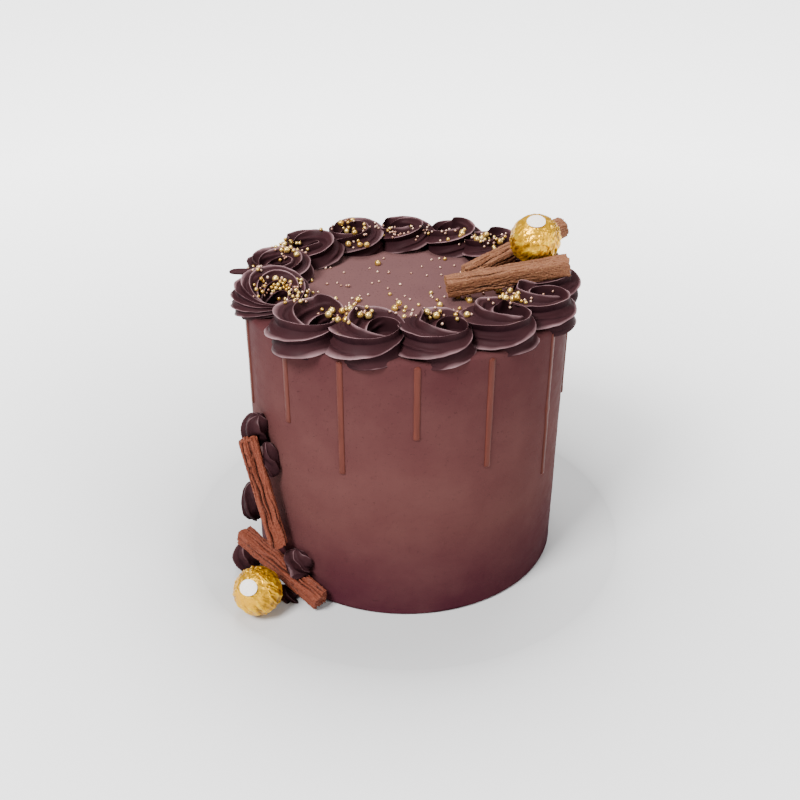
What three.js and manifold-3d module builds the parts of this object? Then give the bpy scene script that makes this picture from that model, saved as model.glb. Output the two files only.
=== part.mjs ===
// A tall chocolate buttercream cake: a round body with thin drips, a ring of piped rosettes,
// gold sugar pearls, folded chocolate logs, foil-wrapped pralines and frosting dollops.
// Units are millimetres, +Z is up. The origin is the centre of the cake's base, and the front is -Y.
// Azimuths are degrees seen from above, counted from the front (-Y) towards +X.

import * as THREE from 'three';
import { mergeVertices } from 'three/addons/utils/BufferGeometryUtils.js';
import loadManifold from 'manifold-3d';

const wasm = await loadManifold();
wasm.setup();

// ---------------------------------------------------------------- driving dimensions

const CAKE_RADIUS = 89;
const CAKE_HEIGHT = 155;
const TOP_EDGE_RADIUS = 3;
const BASE_EDGE_RADIUS = 1;
const CAKE_SEGMENTS = 72;
const CUTTER_SEGMENTS = 36;
const CLEARANCE = 0.3;

const DRIP_WIDTH = 3.3;
const DRIP_PROUD = 0.7;
const DRIP_SUNK = 0.5;
const DRIP_START = 4;

// How far each drip's lower end is below the cake's top.
const DRIPS = [
  { azimuth: -42.8, length: 47 },
  { azimuth: -21.2, length: 67 },
  { azimuth: 3.5, length: 43 },
  { azimuth: 28, length: 65 },
  { azimuth: 57.5, length: 90 },
  { azimuth: 83, length: 58 },
  { azimuth: 108, length: 72 },
  { azimuth: 133, length: 40 },
  { azimuth: 158, length: 64 },
  { azimuth: 184, length: 51 },
  { azimuth: 211, length: 82 },
  { azimuth: 237, length: 46 },
  { azimuth: 263, length: 60 },
  { azimuth: 289, length: 56 },
];

// Each rosette's place on the ring, how far its skirt hangs below the cake's top, its size against the
// others, the climb of one of its ridges at turn 0, and the ridge that stands up as a petal.
const ROSETTES = [
  { azimuth: -34, ring: 77.4, skirt: 4.5, scale: 1.14, crest: 17.8, petal: { turn: 215, climb: 95, height: 1.5, rise: 90 } },
  { azimuth: -9.5, ring: 74, skirt: 5, scale: 1.08, crest: 3, petal: { turn: 250, climb: 85, height: 2, rise: 40 } },
  { azimuth: 17, ring: 72.2, skirt: 4.5, scale: 1.06, crest: 12, petal: { turn: 250, climb: 75, height: 2, rise: 50 } },
  { azimuth: 44.5, ring: 73, skirt: 4.5, scale: 1.07, crest: 12, petal: { turn: 160, climb: 110, height: 4, rise: 40 } },
  { azimuth: 69, ring: 77.2, skirt: 4.5, scale: 1.05, crest: 18, petal: { turn: 200, climb: 100, height: 2, rise: 80 } },
  { azimuth: 93, ring: 77, skirt: 3, scale: 1, crest: 40, petal: { turn: 180, climb: 120, height: 2, rise: 60 } },
  { azimuth: 117, ring: 76, skirt: 4, scale: 0.98, crest: 1, petal: { turn: 230, climb: 110, height: 2, rise: 60 } },
  { azimuth: 140, ring: 74, skirt: 1.5, scale: 0.98, crest: 32, petal: { turn: 20, climb: 100, height: 2, rise: 70 } },
  { azimuth: 162, ring: 75, skirt: 3.5, scale: 0.98, crest: 53, petal: { turn: 340, climb: 95, height: 2, rise: 80 } },
  { azimuth: 186, ring: 74.5, skirt: 2, scale: 0.98, crest: 10, petal: { turn: 60, climb: 100, height: 2, rise: 70 } },
  { azimuth: 210, ring: 75, skirt: 4, scale: 1, crest: 37, petal: { turn: 310, climb: 105, height: 2, rise: 80 } },
  { azimuth: 235, ring: 74.5, skirt: 2.5, scale: 1, crest: 18, petal: { turn: 30, climb: 110, height: 2, rise: 60 } },
  { azimuth: 262, ring: 75, skirt: 2, scale: 1, crest: 48, ribs: 9, threads: 3, tail: { azimuth: 267.5, rise: 8 } },
  { azimuth: 291.5, ring: 75, skirt: 3, scale: 1.1, crest: 25, ribs: 12, threads: 4 },
];

// Sizes of a rosette's rope: the mean, and the swing as it swells at its start and thins to its end.
const ROPE_PATH = { mean: 12, swing: 3.65 };
const ROPE_BREADTH = { mean: 6.75, swing: 4 };
const ROPE_TALLNESS = { mean: 9.85, swing: 1.7 };
const ROPE_LEAD = THREE.MathUtils.degToRad(14);
const ROPE_RISE = 3.5;
const HOLE_RADIUS = 2.2;
const CORE_RADIUS = 9.4;
const RIB_COUNT = 6;
const RIB_THREADS = 2;
const RIB_DEPTH = 0.3;
const RIB_LEAN = THREE.MathUtils.degToRad(18);
const SAMPLES_PER_RIB = 2;
const SWIRL_STEPS = 16;
const PETAL_FALL = THREE.MathUtils.degToRad(14);
const PETAL_LEAN = 0.2;
const TAIL_LENGTH = 12;
const TAIL_RADIUS = 1.9;
const TAIL_BREADTH = 1.2;
const TAIL_THICKNESS = 0.75;
const ROSETTE_INNER_REACH = 46;
const ROSETTE_OUTER_REACH = 104;
const ROSETTE_HEADROOM = 30;

const PEARL_LARGE = 2;
const PEARL_MEDIUM = 1.5;
const TOP_PEARLS = 14;
const TOP_PEARL_FIELD = 46;
const TOP_PEARLS_LARGE = 4;
const TOP_PEARL_SPACING = 6;
const TOP_PEARL_LIFT = 0.6;
const TOP_PEARL_SMALLEST = 0.6;
const ROSETTE_PEARLS = 2;
const ROSETTE_PEARL_LIFT = 0.2;
const PEARL_TURN = 0.4;
const PEARL_LOWEST_CLIMB = 1.2;
const PEARL_HIGHEST_CLIMB = 2.1;

const LOG_WIDTH = 11.6;
const LOG_SIDES = 16;
const LOG_STEPS = 5;
const LOG_BULGE = 1.2;
const LOG_END_PLAY = 2;
const LOG_SLACK = 0.97;
const LOG_SQUARENESS = 0.09;
const LOG_RIDGE = 0.075;
const LOG_WANDER = 0.03;
const LOG_WAVES = 5;
const LOG_END_ROUGHNESS = 0.5;

const FOIL_CREASE = 1.1;
const FOIL_FOLDS = 14;
const FOIL_FOLD_RATE = 9;
const FOIL_CALM = 0.45;
const FOIL_DEEP = 0.8;
const FOIL_PLAIN_ANGLE = 0.5;
const STICKER_WIDTH = 10;
const STICKER_HEIGHT = 8.8;
const STICKER_THICKNESS = 0.5;
const STICKER_SAG = 0.25;

// Centres of each log's two end faces.
const LOGS = [
  { name: 'top_log_front', from: [21.7, -14.2, 162.9], to: [86, -8, 173.2], seed: 11 },
  { name: 'top_log_back', from: [33.5, 6, 161.2], to: [89.2, 39.4, 178], seed: 12 },
  { name: 'side_log_upright', from: [-69.6, -67.6, 31.5], to: [-84.1, -56, 92.2], seed: 13 },
  { name: 'side_log_lower', from: [-45.8, -85.2, 6.6], to: [-92.3, -49.2, 24.2], seed: 14 },
];

// Each praline's sticker faces along an azimuth and an elevation.
const PRALINES = [
  { name: 'top_praline', centre: [69.9, 8.1, 181.7], radius: 14.3, faces: { azimuth: -9, elevation: 63 }, seed: 21 },
  { name: 'side_praline', centre: [-79.8, -86.2, 14.2], radius: 13.8, faces: { azimuth: -20, elevation: 45 }, seed: 22 },
];

// Frosting swirls that glue the side decoration to the cake: place, half sizes and tilt about the radial line.
const DOLLOPS = [
  { name: 'side_frosting_top', azimuth: -60, radius: 93, z: 91.5, size: [9.5, 8.5, 11], tilt: 18, seed: 31 },
  { name: 'side_frosting_strip', azimuth: -51.5, radius: 92, z: 80, size: [5.5, 6, 10], tilt: -14, seed: 32 },
  { name: 'side_frosting_middle', azimuth: -67, radius: 94.5, z: 38, size: [8, 8, 14], tilt: 10, seed: 33 },
  { name: 'side_frosting_left', azimuth: -61.5, radius: 103, z: 8, size: [9, 9.5, 9.5], tilt: 0, seed: 34 },
  { name: 'side_frosting_right', azimuth: -40.5, radius: 92, z: 20.5, size: [12, 7, 8], tilt: -12, seed: 35 },
  { name: 'side_frosting_foot', azimuth: -42.5, radius: 99.5, z: 1, size: [11, 5, 3.2], tilt: 0, seed: 36 },
];

const DOLLOP_RIBS = 5;
const DOLLOP_TWIST = 0.9;
const DOLLOP_GROOVE = 0.22;
const DOLLOP_PINCH = 0.08;
const DOLLOP_CLEARANCE = 1.5 * CLEARANCE;

// ---------------------------------------------------------------- materials

function matte(colour, roughness = 0.5) {
  return new THREE.MeshStandardMaterial({ color: colour, roughness, metalness: 0 });
}

const MATERIALS = {
  buttercream: matte(0x7a4c44, 0.5),
  rosette: matte(0x4a3330, 0.42),
  dollop: matte(0x4a3330, 0.42),
  chocolate: matte(0xb0754f, 0.7),
  foil: new THREE.MeshStandardMaterial({ color: 0xd9a520, roughness: 0.28, metalness: 1 }),
  sticker: matte(0xf2ebe2, 0.6),
};

// ---------------------------------------------------------------- helpers

function seededRandom(seed) {
  let state = seed;
  return () => {
    state = (state + 0x6d2b79f5) | 0;
    let t = Math.imul(state ^ (state >>> 15), 1 | state);
    t = (t + Math.imul(t ^ (t >>> 7), 61 | t)) ^ t;
    return ((t ^ (t >>> 14)) >>> 0) / 4294967296;
  };
}

function between(random, low, high) {
  return low + (high - low) * random();
}

function bump(distance, width) {
  return Math.exp(-((distance / width) ** 2));
}

function angleBetween(a, b) {
  return Math.atan2(Math.sin(a - b), Math.cos(a - b));
}

function polar(azimuth, radius, z) {
  const angle = THREE.MathUtils.degToRad(azimuth);
  return new THREE.Vector3(radius * Math.sin(angle), -radius * Math.cos(angle), z);
}

function toSolid(geometry) {
  const bare = geometry.clone();
  bare.deleteAttribute('normal');
  bare.deleteAttribute('uv');
  const merged = mergeVertices(bare, 1e-4);
  return new wasm.Manifold(new wasm.Mesh({
    numProp: 3,
    vertProperties: new Float32Array(merged.attributes.position.array),
    triVerts: new Uint32Array(merged.index.array),
  }));
}

function toGeometry(solid) {
  const mesh = solid.getMesh();
  const geometry = new THREE.BufferGeometry();
  geometry.setAttribute('position', new THREE.BufferAttribute(mesh.vertProperties, mesh.numProp));
  geometry.setIndex(new THREE.BufferAttribute(mesh.triVerts, 1));
  geometry.computeVertexNormals();
  return geometry;
}

function displace(geometry, move) {
  const position = geometry.attributes.position;
  const point = new THREE.Vector3();
  for (let index = 0; index < position.count; index += 1) {
    point.fromBufferAttribute(position, index);
    move(point, index);
    position.setXYZ(index, point.x, point.y, point.z);
  }
  return geometry;
}

function addMesh(group, name, solid, material) {
  const mesh = new THREE.Mesh(toGeometry(solid), material);
  mesh.name = name;
  group.add(mesh);
}

// ---------------------------------------------------------------- cake body

function cakeProfile(radius, height) {
  const outline = new THREE.Path();
  outline.moveTo(0, 0);
  outline.lineTo(radius - BASE_EDGE_RADIUS, 0);
  outline.lineTo(radius, BASE_EDGE_RADIUS);
  outline.lineTo(radius, height - TOP_EDGE_RADIUS);
  outline.absarc(radius - TOP_EDGE_RADIUS, height - TOP_EDGE_RADIUS, TOP_EDGE_RADIUS, 0, Math.PI / 2, false);
  outline.lineTo(0, height);
  return outline.getPoints(2);
}

function upright(geometry) {
  return geometry.rotateX(Math.PI / 2);
}

function dripSolid({ azimuth, length }) {
  const radius = DRIP_WIDTH / 2;
  const geometry = upright(new THREE.CapsuleGeometry(radius, length - DRIP_START - DRIP_WIDTH, 2, 6));
  geometry.scale(1, (DRIP_PROUD + DRIP_SUNK) / radius, 1);
  const centre = polar(azimuth, CAKE_RADIUS - DRIP_SUNK, CAKE_HEIGHT - (length + DRIP_START) / 2);
  geometry.rotateZ(THREE.MathUtils.degToRad(azimuth));
  geometry.translate(centre.x, centre.y, centre.z);
  return toSolid(geometry);
}

function pearlSolid(centre, radius, turn) {
  const geometry = new THREE.IcosahedronGeometry(radius, 0);
  geometry.rotateX(turn);
  geometry.rotateZ(turn);
  geometry.translate(centre.x, centre.y, centre.z);
  return toSolid(geometry);
}

function logDistance(point) {
  const start = new THREE.Vector3();
  const end = new THREE.Vector3();
  const closest = new THREE.Vector3();
  let nearest = Infinity;
  for (const { from, to } of LOGS) {
    const line = new THREE.Line3(start.fromArray(from), end.fromArray(to));
    line.closestPointToPoint(point, true, closest);
    nearest = Math.min(nearest, closest.distanceTo(point));
  }
  return nearest;
}

function topPearls() {
  const random = seededRandom(3);
  const pearls = [];
  while (pearls.length < TOP_PEARLS) {
    const small = PEARL_MEDIUM * between(random, TOP_PEARL_SMALLEST, 1);
    const radius = pearls.length < TOP_PEARLS_LARGE ? PEARL_LARGE : small;
    const reach = TOP_PEARL_FIELD * Math.sqrt(random());
    const centre = polar(360 * random(), reach, CAKE_HEIGHT + TOP_PEARL_LIFT * radius);
    const clear = pearls.every((other) => other.centre.distanceTo(centre) > TOP_PEARL_SPACING);
    if (clear && logDistance(centre) > LOG_WIDTH) {
      pearls.push({ centre, radius });
    }
  }
  return pearls;
}

function cakeSolid() {
  const body = toSolid(upright(new THREE.LatheGeometry(cakeProfile(CAKE_RADIUS, CAKE_HEIGHT), CAKE_SEGMENTS)));
  const drips = DRIPS.map(dripSolid);
  const pearls = topPearls().map(({ centre, radius }) => pearlSolid(centre, radius, centre.x));
  return [...drips, ...pearls].reduce((whole, piece) => whole.add(piece), body);
}

// A plain drum that clears the body and its drips, for cutting what lies against them.
// Its flats, not its corners, keep the clearance.
function cakeCutter() {
  const radius = (CAKE_RADIUS + DRIP_PROUD + CLEARANCE) / Math.cos(Math.PI / CUTTER_SEGMENTS);
  const height = CAKE_HEIGHT + CLEARANCE;
  const geometry = upright(new THREE.CylinderGeometry(radius, radius, height, CUTTER_SEGMENTS));
  geometry.translate(0, 0, height / 2);
  return toSolid(geometry);
}

// ---------------------------------------------------------------- rosettes

// A star nozzle moves once round a small circle. The rope's ribs keep to the nozzle, so each climbs
// slowly as the rope turns. The rope starts swollen, over the thin end of the rosette before.
function rosetteSpec(place, index) {
  return { ribs: RIB_COUNT, threads: RIB_THREADS, ...place, random: seededRandom(101 + index) };
}

function swungSize(spec, { mean, swing }, turn) {
  return spec.scale * (mean + swing * Math.cos(turn + Math.PI / 2 + ROPE_LEAD));
}

// How much of a petal's height its ridge has at a place: a slow rise and then a quick fall.
function petalShare(spec, turn, climb) {
  if (!spec.petal) {
    return 0;
  }
  const past = angleBetween(turn, THREE.MathUtils.degToRad(spec.petal.turn));
  const twist = (spec.threads / spec.ribs) * past;
  const own = angleBetween(climb, THREE.MathUtils.degToRad(spec.petal.climb) + twist);
  const rising = THREE.MathUtils.smoothstep(past, -THREE.MathUtils.degToRad(spec.petal.rise), 0);
  const falling = 1 - THREE.MathUtils.smoothstep(past, 0, PETAL_FALL);
  return Math.abs(own) < Math.PI / spec.ribs ? rising * falling : 0;
}

function swirlPoint(spec, turn, ribAngle, rib) {
  const ridgeClimb = ribAngle + THREE.MathUtils.degToRad(spec.crest) + (spec.threads / spec.ribs) * turn;
  const climb = ridgeClimb + RIB_LEAN * (RIB_COUNT / spec.ribs) * (1 - rib);
  const star = 1 - RIB_DEPTH * (1 - rib);
  const petal = rib * (spec.petal?.height ?? 0) * petalShare(spec, turn, ridgeClimb);
  const across = swungSize(spec, ROPE_BREADTH, turn) * star * Math.cos(climb);
  const radial = Math.max(swungSize(spec, ROPE_PATH, turn) + across - PETAL_LEAN * petal, HOLE_RADIUS);
  const z = ROPE_RISE + swungSize(spec, ROPE_TALLNESS, turn) * star * Math.sin(climb) + petal;
  return new THREE.Vector3(radial * Math.cos(turn), radial * Math.sin(turn), z);
}

function placeRosette(geometry, spec) {
  const centre = polar(spec.azimuth, spec.ring, CAKE_HEIGHT);
  geometry.rotateZ(THREE.MathUtils.degToRad(spec.azimuth - 90));
  geometry.translate(centre.x, centre.y, centre.z);
  return geometry;
}

function swirlSolid(spec) {
  const ribSamples = spec.ribs * SAMPLES_PER_RIB;
  const geometry = new THREE.TorusGeometry(ROPE_PATH.mean, ROPE_BREADTH.mean, ribSamples, SWIRL_STEPS);
  displace(geometry, (point, index) => {
    const sample = Math.floor(index / (SWIRL_STEPS + 1));
    const step = index % (SWIRL_STEPS + 1);
    const rib = sample % SAMPLES_PER_RIB === 0 ? 1 : 0;
    const ribAngle = (2 * Math.PI * sample) / ribSamples;
    point.copy(swirlPoint(spec, (2 * Math.PI * step) / SWIRL_STEPS, ribAngle, rib));
  });
  return toSolid(placeRosette(geometry, spec));
}

function coreSolid(spec) {
  const radius = CORE_RADIUS * spec.scale;
  const geometry = upright(new THREE.CylinderGeometry(radius, radius, ROPE_RISE, 12));
  geometry.translate(0, 0, ROPE_RISE / 2);
  return toSolid(placeRosette(geometry, spec));
}

// A blunt flattened finger left where the nozzle pulled away, pointing out from the ring.
function tailSolid({ azimuth, rise }) {
  const geometry = new THREE.CapsuleGeometry(TAIL_RADIUS, TAIL_LENGTH, 2, 8);
  geometry.scale(TAIL_BREADTH, 1, TAIL_THICKNESS);
  geometry.rotateZ(THREE.MathUtils.degToRad(azimuth));
  const centre = polar(azimuth, CAKE_RADIUS + 1, CAKE_HEIGHT + rise);
  return toSolid(geometry.translate(centre.x, centre.y, centre.z));
}

// The seam lies where the swollen start of one rosette meets the thin end of the one before.
function seamAzimuth(before, after) {
  const thin = before.scale * (ROPE_PATH.mean - ROPE_PATH.swing + ROPE_BREADTH.mean - ROPE_BREADTH.swing);
  const swollen = after.scale * (ROPE_PATH.mean + ROPE_PATH.swing + ROPE_BREADTH.mean + ROPE_BREADTH.swing);
  const turn = THREE.MathUtils.euclideanModulo(after.azimuth - before.azimuth, 360);
  return before.azimuth + (turn * thin) / (thin + swollen);
}

// The slice of the ring between the seams to the two neighbours.
function rosetteSlice(spec, before, after) {
  const seamGap = THREE.MathUtils.radToDeg(CLEARANCE / 2 / ROSETTE_INNER_REACH);
  const seams = [seamAzimuth(before, spec) + seamGap, seamAzimuth(spec, after) - seamGap];
  const corners = [
    polar(seams[0], ROSETTE_INNER_REACH, 0),
    polar(seams[0], ROSETTE_OUTER_REACH, 0),
    polar(seams[1], ROSETTE_OUTER_REACH, 0),
    polar(seams[1], ROSETTE_INNER_REACH, 0),
  ];
  const outline = new THREE.Shape(corners.map(({ x, y }) => new THREE.Vector2(x, y)));
  const depth = spec.skirt + ROSETTE_HEADROOM;
  const geometry = new THREE.ExtrudeGeometry(outline, { depth, bevelEnabled: false });
  geometry.translate(0, 0, CAKE_HEIGHT - spec.skirt);
  return toSolid(geometry);
}

// Pearls sit on the outer and inner slopes, away from the seams.
function rosettePearls(spec) {
  const pearls = [];
  const sides = [0, Math.PI];
  for (let index = 0; index < ROSETTE_PEARLS; index += 1) {
    const turn = sides[index % 2] + between(spec.random, -PEARL_TURN, PEARL_TURN);
    const radius = index === 0 ? PEARL_LARGE : PEARL_MEDIUM;
    const climb = between(spec.random, PEARL_LOWEST_CLIMB, PEARL_HIGHEST_CLIMB);
    const ribAngle = climb - THREE.MathUtils.degToRad(spec.crest) - (spec.threads / spec.ribs) * turn;
    const point = swirlPoint(spec, turn, ribAngle, 0);
    const geometry = new THREE.IcosahedronGeometry(radius, 0);
    geometry.rotateY(turn);
    geometry.translate(point.x, point.y, point.z + ROSETTE_PEARL_LIFT * radius);
    pearls.push(toSolid(placeRosette(geometry, spec)));
  }
  return pearls;
}

// ---------------------------------------------------------------- chocolate logs

// A sheet of chocolate folded up lengthwise: long ridges that wander a little, with rough ends.
function logSolid({ from, to, seed }) {
  const start = new THREE.Vector3(...from);
  const end = new THREE.Vector3(...to);
  const length = start.distanceTo(end);
  const random = seededRandom(seed);
  const ridges = Array.from({ length: LOG_SIDES }, () => between(random, -1, 1));
  const wander = Array.from({ length: LOG_SIDES }, () => between(random, 0, 2 * Math.PI));
  const half = LOG_WIDTH / 2;
  const geometry = new THREE.CylinderGeometry(half, half, length, LOG_SIDES, LOG_STEPS);
  displace(geometry, (point) => {
    const across = Math.hypot(point.x, point.z);
    if (across < 1e-6) {
      return;
    }
    const angle = Math.atan2(point.z, point.x);
    const side = (Math.round((angle / (2 * Math.PI)) * LOG_SIDES) + LOG_SIDES) % LOG_SIDES;
    const along = point.y / length;
    const square = LOG_SQUARENESS * Math.cos(4 * angle);
    const ridge = LOG_RIDGE * ridges[side] + LOG_WANDER * Math.sin(LOG_WAVES * along + wander[side]);
    const radius = half * (LOG_SLACK - square + ridge);
    const rough = Math.abs(along) > 0.49 ? LOG_END_ROUGHNESS * ridges[side] : 0;
    point.set(radius * Math.cos(angle), point.y + rough, radius * Math.sin(angle));
  });
  return toSolid(layAlong(geometry, start, end));
}

function layAlong(geometry, start, end) {
  const direction = end.clone().sub(start).normalize();
  geometry.applyQuaternion(new THREE.Quaternion().setFromUnitVectors(new THREE.Vector3(0, 1, 0), direction));
  const middle = start.clone().lerp(end, 0.5);
  return geometry.translate(middle.x, middle.y, middle.z);
}

// A plain prism that clears a log, for cutting the frosting that it is pressed into.
function logCutter({ from, to }) {
  const start = new THREE.Vector3(...from);
  const end = new THREE.Vector3(...to);
  const radius = (LOG_WIDTH / 2) * LOG_BULGE + CLEARANCE;
  const geometry = new THREE.CylinderGeometry(radius, radius, start.distanceTo(end) + LOG_END_PLAY, 10);
  return toSolid(layAlong(geometry, start, end));
}

// ---------------------------------------------------------------- pralines

function facing({ azimuth, elevation }) {
  const tilt = THREE.MathUtils.degToRad(elevation);
  const flat = polar(azimuth, Math.cos(tilt), 0);
  return new THREE.Vector3(flat.x, flat.y, Math.sin(tilt));
}

function pralineSolid({ centre, radius, faces, seed }) {
  const random = seededRandom(seed);
  const front = facing(faces);
  const randomAxis = () => new THREE.Vector3(between(random, -1, 1), between(random, -1, 1), between(random, -1, 1));
  const creases = Array.from({ length: FOIL_FOLDS }, () => randomAxis().normalize());
  const geometry = new THREE.IcosahedronGeometry(radius, 3);
  displace(geometry, (point) => {
    const direction = point.clone().normalize();
    const folds = creases.map((crease) => Math.abs(Math.sin(FOIL_FOLD_RATE * direction.dot(crease))));
    const mean = folds.reduce((sum, fold) => sum + fold, 0) / FOIL_FOLDS;
    const crumpled = 1 - bump(direction.angleTo(front), FOIL_PLAIN_ANGLE);
    point.setLength(radius - FOIL_CREASE * crumpled * THREE.MathUtils.smoothstep(mean, FOIL_CALM, FOIL_DEEP));
  });
  geometry.translate(...centre);
  return toSolid(geometry);
}

function ballSolid(centre, radius) {
  const geometry = new THREE.SphereGeometry(radius, 32, 20);
  geometry.translate(...centre);
  return toSolid(geometry);
}

function stickerSolid({ centre, radius, faces }) {
  const seat = radius + CLEARANCE + STICKER_SAG;
  const geometry = upright(new THREE.CylinderGeometry(1, 1, STICKER_THICKNESS, 16));
  geometry.scale(STICKER_WIDTH / 2, STICKER_HEIGHT / 2, 1);
  displace(geometry, (point) => {
    point.z += Math.sqrt(seat ** 2 - point.x ** 2 - point.y ** 2) + STICKER_THICKNESS / 2;
  });
  geometry.rotateX(Math.PI / 2 - THREE.MathUtils.degToRad(faces.elevation));
  geometry.rotateZ(THREE.MathUtils.degToRad(faces.azimuth));
  geometry.translate(...centre);
  return toSolid(geometry);
}

// ---------------------------------------------------------------- dollops

// A piped blob with twisted ribs that pinches to a soft tip.
function dollopSolid({ azimuth, radius, z, size, tilt, seed }) {
  const random = seededRandom(seed);
  const phase = between(random, 0, 2 * Math.PI);
  const geometry = upright(new THREE.SphereGeometry(1, 12, 8));
  displace(geometry, (point) => {
    const angle = Math.atan2(point.y, point.x);
    const rib = Math.abs(Math.cos((DOLLOP_RIBS / 2) * (angle + DOLLOP_TWIST * point.z) + phase));
    const flat = Math.hypot(point.x, point.y);
    const swell = 1 - DOLLOP_GROOVE * rib * flat;
    point.set(point.x * swell, point.y * swell, point.z * (1 + DOLLOP_PINCH * point.z));
  });
  geometry.scale(...size);
  geometry.rotateY(THREE.MathUtils.degToRad(tilt));
  geometry.rotateZ(THREE.MathUtils.degToRad(azimuth));
  const centre = polar(azimuth, radius, z);
  geometry.translate(centre.x, centre.y, centre.z);
  return toSolid(geometry);
}

function floorCutter() {
  const geometry = new THREE.BoxGeometry(4 * CAKE_RADIUS, 4 * CAKE_RADIUS, CAKE_RADIUS);
  geometry.translate(0, 0, -CAKE_RADIUS / 2);
  return toSolid(geometry);
}

// ---------------------------------------------------------------- assembly

const cake = new THREE.Group();
cake.name = 'chocolate_cake';

addMesh(cake, 'cake_body', cakeSolid(), MATERIALS.buttercream);

const cutter = cakeCutter();
const logCutters = LOGS.map(logCutter);
const ballCutters = PRALINES.map(({ centre, radius }) => ballSolid(centre, radius + CLEARANCE));
const topCutters = [logCutters[0], logCutters[1], ballCutters[0]];
const sideCutters = [logCutters[2], logCutters[3], ballCutters[1]];

const specs = ROSETTES.map(rosetteSpec);
specs.forEach((spec, index) => {
  const slice = rosetteSlice(spec, specs.at(index - 1), specs[(index + 1) % specs.length]);
  const swirl = swirlSolid(spec).add(coreSolid(spec)).intersect(slice);
  const tails = spec.tail ? [tailSolid(spec.tail)] : [];
  const whole = [...rosettePearls(spec), ...tails].reduce((sum, piece) => sum.add(piece), swirl);
  const rosette = [cutter, ...topCutters].reduce((rest, tool) => rest.subtract(tool), whole);
  addMesh(cake, `rosette_${String(index + 1).padStart(2, '0')}`, rosette, MATERIALS.rosette);
});

LOGS.forEach((log) => addMesh(cake, log.name, logSolid(log), MATERIALS.chocolate));

PRALINES.forEach((praline) => {
  addMesh(cake, praline.name, pralineSolid(praline), MATERIALS.foil);
  addMesh(cake, `${praline.name}_sticker`, stickerSolid(praline), MATERIALS.sticker);
});

let placed = [];
DOLLOPS.forEach((dollop) => {
  const tools = [cutter, floorCutter(), ...sideCutters, ...placed];
  const solid = tools.reduce((rest, tool) => rest.subtract(tool), dollopSolid(dollop));
  addMesh(cake, dollop.name, solid, MATERIALS.dollop);
  placed = [...placed, dollopSolid({ ...dollop, size: dollop.size.map((half) => half + DOLLOP_CLEARANCE) })];
});

export default cake;
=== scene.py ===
"""Tall chocolate buttercream cake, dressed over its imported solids.

Sizes are millimetres until a mesh is made. Azimuths are degrees seen from above, counted from the
front (-Y) towards +X, and every piece keeps the place of the solid that it stands for.
"""

from __future__ import annotations

import itertools
import logging
import math
import sys
from dataclasses import dataclass, replace
from enum import Enum
from typing import Protocol

import bmesh
import bpy
import numpy as np
from mathutils import Matrix, Vector
from mathutils.bvhtree import BVHTree


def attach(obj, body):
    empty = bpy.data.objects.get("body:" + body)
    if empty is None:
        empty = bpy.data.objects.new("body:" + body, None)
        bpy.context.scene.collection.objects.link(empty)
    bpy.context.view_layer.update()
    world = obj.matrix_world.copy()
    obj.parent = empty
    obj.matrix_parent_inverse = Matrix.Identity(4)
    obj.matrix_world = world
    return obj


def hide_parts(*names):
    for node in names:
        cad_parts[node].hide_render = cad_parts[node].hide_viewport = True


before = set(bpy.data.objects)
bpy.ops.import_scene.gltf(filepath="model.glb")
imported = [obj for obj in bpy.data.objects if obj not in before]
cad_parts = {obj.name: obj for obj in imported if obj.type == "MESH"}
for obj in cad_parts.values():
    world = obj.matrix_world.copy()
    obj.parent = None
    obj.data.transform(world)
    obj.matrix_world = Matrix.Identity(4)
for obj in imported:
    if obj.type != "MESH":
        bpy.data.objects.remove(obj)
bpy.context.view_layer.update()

LOG = logging.getLogger("cake")
MM = 0.001

CAKE_RADIUS = 89.0
CAKE_HEIGHT = 155.0
CLEARANCE = 0.3

UP = np.array([0.0, 0.0, 1.0])
TINY = 1e-9
CELL_PRIMES = np.array([73856093, 19349663, 83492791])
SEED_PRIME = 2654435761
MIXERS = (2246822519, 3266489917)
WORD = 0xFFFFFFFF

Array = np.ndarray
Generator = np.random.Generator
Pearl = tuple[Array, float]
Triple = tuple[float, float, float]
Socket = bpy.types.NodeSocket
Colour = str | Socket
Material = bpy.types.Material


class Slot(Enum):
    """The record's material slots."""

    FROSTED_CAKE = "frosted_cake"
    DARK_FROSTING = "dark_frosting"
    FOLDED_CHOCOLATE = "folded_chocolate"
    GOLD_FOIL = "gold_foil"
    SUGAR_PEARL = "sugar_pearl"
    DRIP_CHOCOLATE = "drip_chocolate"
    WHITE_STICKER = "white_sticker"


# ------------------------------------------------------------------ numbers and fields


def polar(azimuth: float, radius: float, height: float) -> Array:
    """Point at an azimuth, radius and height.

    Args:
        azimuth: Degrees from the front towards +X.
        radius: Distance from the cake's axis.
        height: Height above the base.

    Returns:
        The point as three numbers.
    """
    angle = math.radians(azimuth)
    return np.array([radius * math.sin(angle), -radius * math.cos(angle), height])


def level_axes(azimuth: float) -> tuple[Array, Array]:
    """Directions straight outwards from the cake's axis and onwards round it."""
    return polar(azimuth, 1, 0), polar(azimuth + 90, 1, 0)


def full_turn(count: int) -> Array:
    """So many even angles round a full turn, in radians."""
    return np.linspace(0, 2 * math.pi, count, endpoint=False)


def wrapped(angle: Array) -> Array:
    """Angle in radians brought to between -pi and pi."""
    return (angle + math.pi) % (2 * math.pi) - math.pi


def bump(distance: Array, width: float) -> Array:
    """Bell curve of a distance, 1 at zero."""
    return np.exp(-((distance / width) ** 2))


def eased(low: float, high: float, value: Array) -> Array:
    """Smooth step from 0 at low to 1 at high."""
    share = np.clip((value - low) / (high - low), 0, 1)
    return share * share * (3 - 2 * share)


def at_least(value: Array, floor: Array | float, softness: float) -> Array:
    """Value kept above a floor, turning smoothly where it meets it."""
    return floor + softness * np.logaddexp(0, (value - floor) / softness)


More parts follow.
